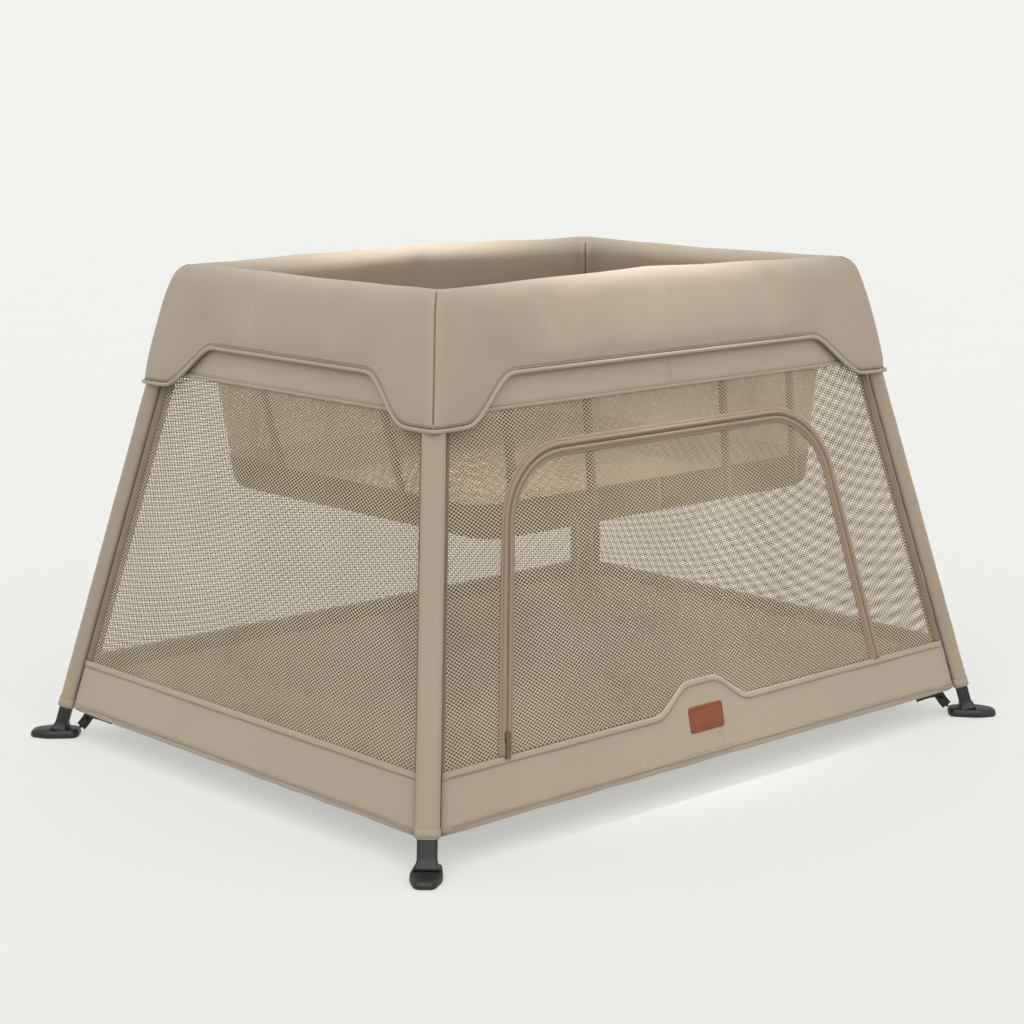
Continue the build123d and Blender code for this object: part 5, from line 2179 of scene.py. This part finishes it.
@dataclass
class Feet(SubAssembly):
    """Moulded feet: a low blade, a raised boss and the post up into the leg."""

    outward: float = 0.039
    inward: float = 0.031
    wide_half: float = 0.021
    tip_half: float = 0.0125
    height: float = 0.0130

    def build(self) -> None:
        """Build the four feet."""
        for name, sx, sy in LEGS:
            self.foot(name, sx, sy)

    def plan(self, shrink: float) -> list[Point2]:
        """Outline of the blade seen from above, as distance out and aside."""
        half = [(self.outward - shrink, self.tip_half - shrink * 0.7), (0.012, self.wide_half - shrink)]
        half.append((-self.inward + shrink, self.wide_half * 0.78 - shrink))
        line = np.array([(out, -aside) for out, aside in half] + half[::-1])
        for _ in range(3):
            after = np.roll(line, -1, 0)
            line = np.stack([line * 0.84 + after * 0.16, line * 0.16 + after * 0.84], axis=1).reshape(-1, 2)
        return [tuple(p) for p in line]

    def foot(self, name: str, sx: int, sy: int) -> None:
        """One foot.

        Args:
            name: leg's name.
            sx: side of the pen.
            sy: front or back.
        """
        centre, (diagonal, across) = PEN.leg_point(sx, sy, 0.0), diagonals(sx, sy)
        up = np.array([0.0, 0.0, 1.0])
        levels = [(0.0016, 0.0), (0.0003, 0.0016), (0.0, 0.0050), (0.0006, 0.0095)]
        levels += [(0.0030, 0.0114), (0.0075, 0.0124), (0.0125, self.height)]
        points = []
        for shrink, height in levels:
            for out, aside in self.plan(shrink):
                drop = 0.0028 * max(0.0, out / self.outward) ** 2 * (height / self.height)
                points.append(centre + diagonal * out + across * aside + up * (height - drop))
        blade = mesh_object("blade", points, tube_faces(len(levels), len(points) // len(levels)))
        face_outward(blade)
        line = spaced([PEN.leg_point(sx, sy, 0.010), PEN.leg_point(sx, sy, 0.050)], 0.004)
        post = sweep("post", line, lambda _, run: self.block(run), up=np.tile(diagonal, (len(line), 1)))
        foot = join(f"{name}_foot_shoe", [blade, post])
        self.dress(foot, Finish.PLASTIC, f"{name}_leg", "moulded_black", [f"{name}_foot"], gathers=False)

    def block(self, run: float) -> list[Point2]:
        """Rounded section of the post, wider where it grows out of the blade."""
        flare = 0.0042 * (1 - ease(run / 0.012))
        return rounded(0.0122 + flare, 0.0084 + flare, 0.0032, 3)


class FrameFinishes:
    """Finishes of the frame's own parts that stay in sight or behind the cover."""

    SLOTS = {
        "frame_tube": Finish.TUBE,
        "moulded_black": Finish.PLASTIC,
        "steel_pin": Finish.STEEL,
        "spring_steel": Finish.SPRING,
    }

    def __init__(self, rack: FinishRack) -> None:
        """Keep the rack of finishes."""
        self.rack = rack

    def apply(self) -> None:
        """Give every shown node of the frame the finish of its material slot."""
        slots = {part["node"]: part["material_slot"] for part in frame["record"]["subparts"]}
        for name, node in frame["nodes"].items():
            if node.hide_render:
                continue
            finish = self.SLOTS[slots[name]]
            material = self.rack.get(finish)
            if not node.material_slots:
                node.data.materials.append(material)
            for place in node.material_slots:
                place.material = material
            LOG.info("finished %s as %s", name, finish.name)


class Studio:
    """Pale floor, soft lights and the camera."""

    CAMERA_PLACE = (-2.23835, -2.42845, 0.95449)
    CAMERA_YAW = 47.56
    CAMERA_PITCH = -10.917
    LENS = 82.08
    SENSOR = 36.0

    def __init__(self, rack: FinishRack) -> None:
        """Keep the rack of finishes."""
        self.rack = rack

    def build(self) -> None:
        """Build the whole studio."""
        self.floor()
        self.sky()
        self.key(1.9, 70.0)
        self.lamp("top_light", (0.0, -0.05, 2.2), 0.4, 2.8, 21.0)
        self.camera()

    def floor(self) -> None:
        """Wide pale floor."""
        reach = 40.0
        side = np.linspace(-reach, reach, 9)
        points = [(x, y, -0.0005) for x in side for y in side]
        ground = mesh_object("studio_ground", np.array(points), grid_faces(9, 9))
        ground.data.materials.append(self.rack.get(Finish.FLOOR))

    def sky(self) -> None:
        """Even pale surroundings."""
        world = bpy.data.worlds.new("studio")
        world.use_nodes = True
        back = world.node_tree.nodes["Background"]
        back.inputs["Color"].default_value = (0.872, 0.888, 0.850, 1.0)
        back.inputs["Strength"].default_value = 1.0
        bpy.context.scene.world = world
        bpy.context.scene.view_settings.view_transform = "Standard"

    def key(self, strength: float, softness: float) -> None:
        """Wide soft light from the upper left, even over the whole floor.

        Args:
            strength: watts per square metre.
            softness: apparent width of the light, in degrees.
        """
        light = bpy.data.lights.new("key_light", "SUN")
        light.energy = strength
        light.angle = radians(softness)
        obj = bpy.data.objects.new("key_light", light)
        obj.rotation_euler = Vector((-0.52, -0.58, 0.85)).to_track_quat("Z", "Y").to_euler()
        bpy.context.scene.collection.objects.link(obj)

    def lamp(self, name: str, place: Sequence[float], size: float, power: float, spread: float) -> None:
        """Square soft light aimed at the pen.

        Args:
            name: name of the light.
            place: where it hangs.
            size: length of its side.
            power: watts.
            spread: angle of the beam, in degrees.
        """
        light = bpy.data.lights.new(name, "AREA")
        light.size = size
        light.energy = power
        light.spread = radians(spread)
        lamp = bpy.data.objects.new(name, light)
        lamp.location = place
        aim = Vector((0.0, 0.0, 0.3)) - Vector(place)
        lamp.rotation_euler = aim.to_track_quat("-Z", "Y").to_euler()
        bpy.context.scene.collection.objects.link(lamp)

    def camera(self) -> None:
        """Camera at the pen's front left corner."""
        data = bpy.data.cameras.new("main_camera")
        data.lens = self.LENS
        data.sensor_width = self.SENSOR
        data.clip_end = 200.0
        eye = bpy.data.objects.new("main_camera", data)
        eye.location = self.CAMERA_PLACE
        yaw, pitch = radians(self.CAMERA_YAW), radians(self.CAMERA_PITCH)
        aim = Vector((cos(yaw) * cos(pitch), sin(yaw) * cos(pitch), sin(pitch)))
        eye.rotation_euler = aim.to_track_quat("-Z", "Y").to_euler()
        bpy.context.scene.collection.objects.link(eye)
        bpy.context.scene.camera = eye


def main() -> None:
    """Build the whole pen in order."""
    logging.basicConfig(level=logging.INFO, format="%(name)s: %(message)s")
    rack = FinishRack()
    Studio(rack).build()
    walls = WallCloth(rack)
    groups = [
        PlainMesh(rack),
        ZipDoor(rack, walls=walls),
        walls,
        LegSleeves(rack),
        Insert(rack),
        Base(rack),
        Trim(rack),
        Feet(rack),
        PaddedCover(rack),
    ]
    for group in groups:
        group.build()
        LOG.info("%s: %d pieces", type(group).__name__, len(group.made))
    FrameFinishes(rack).apply()


if __name__ == "__main__":
    main()
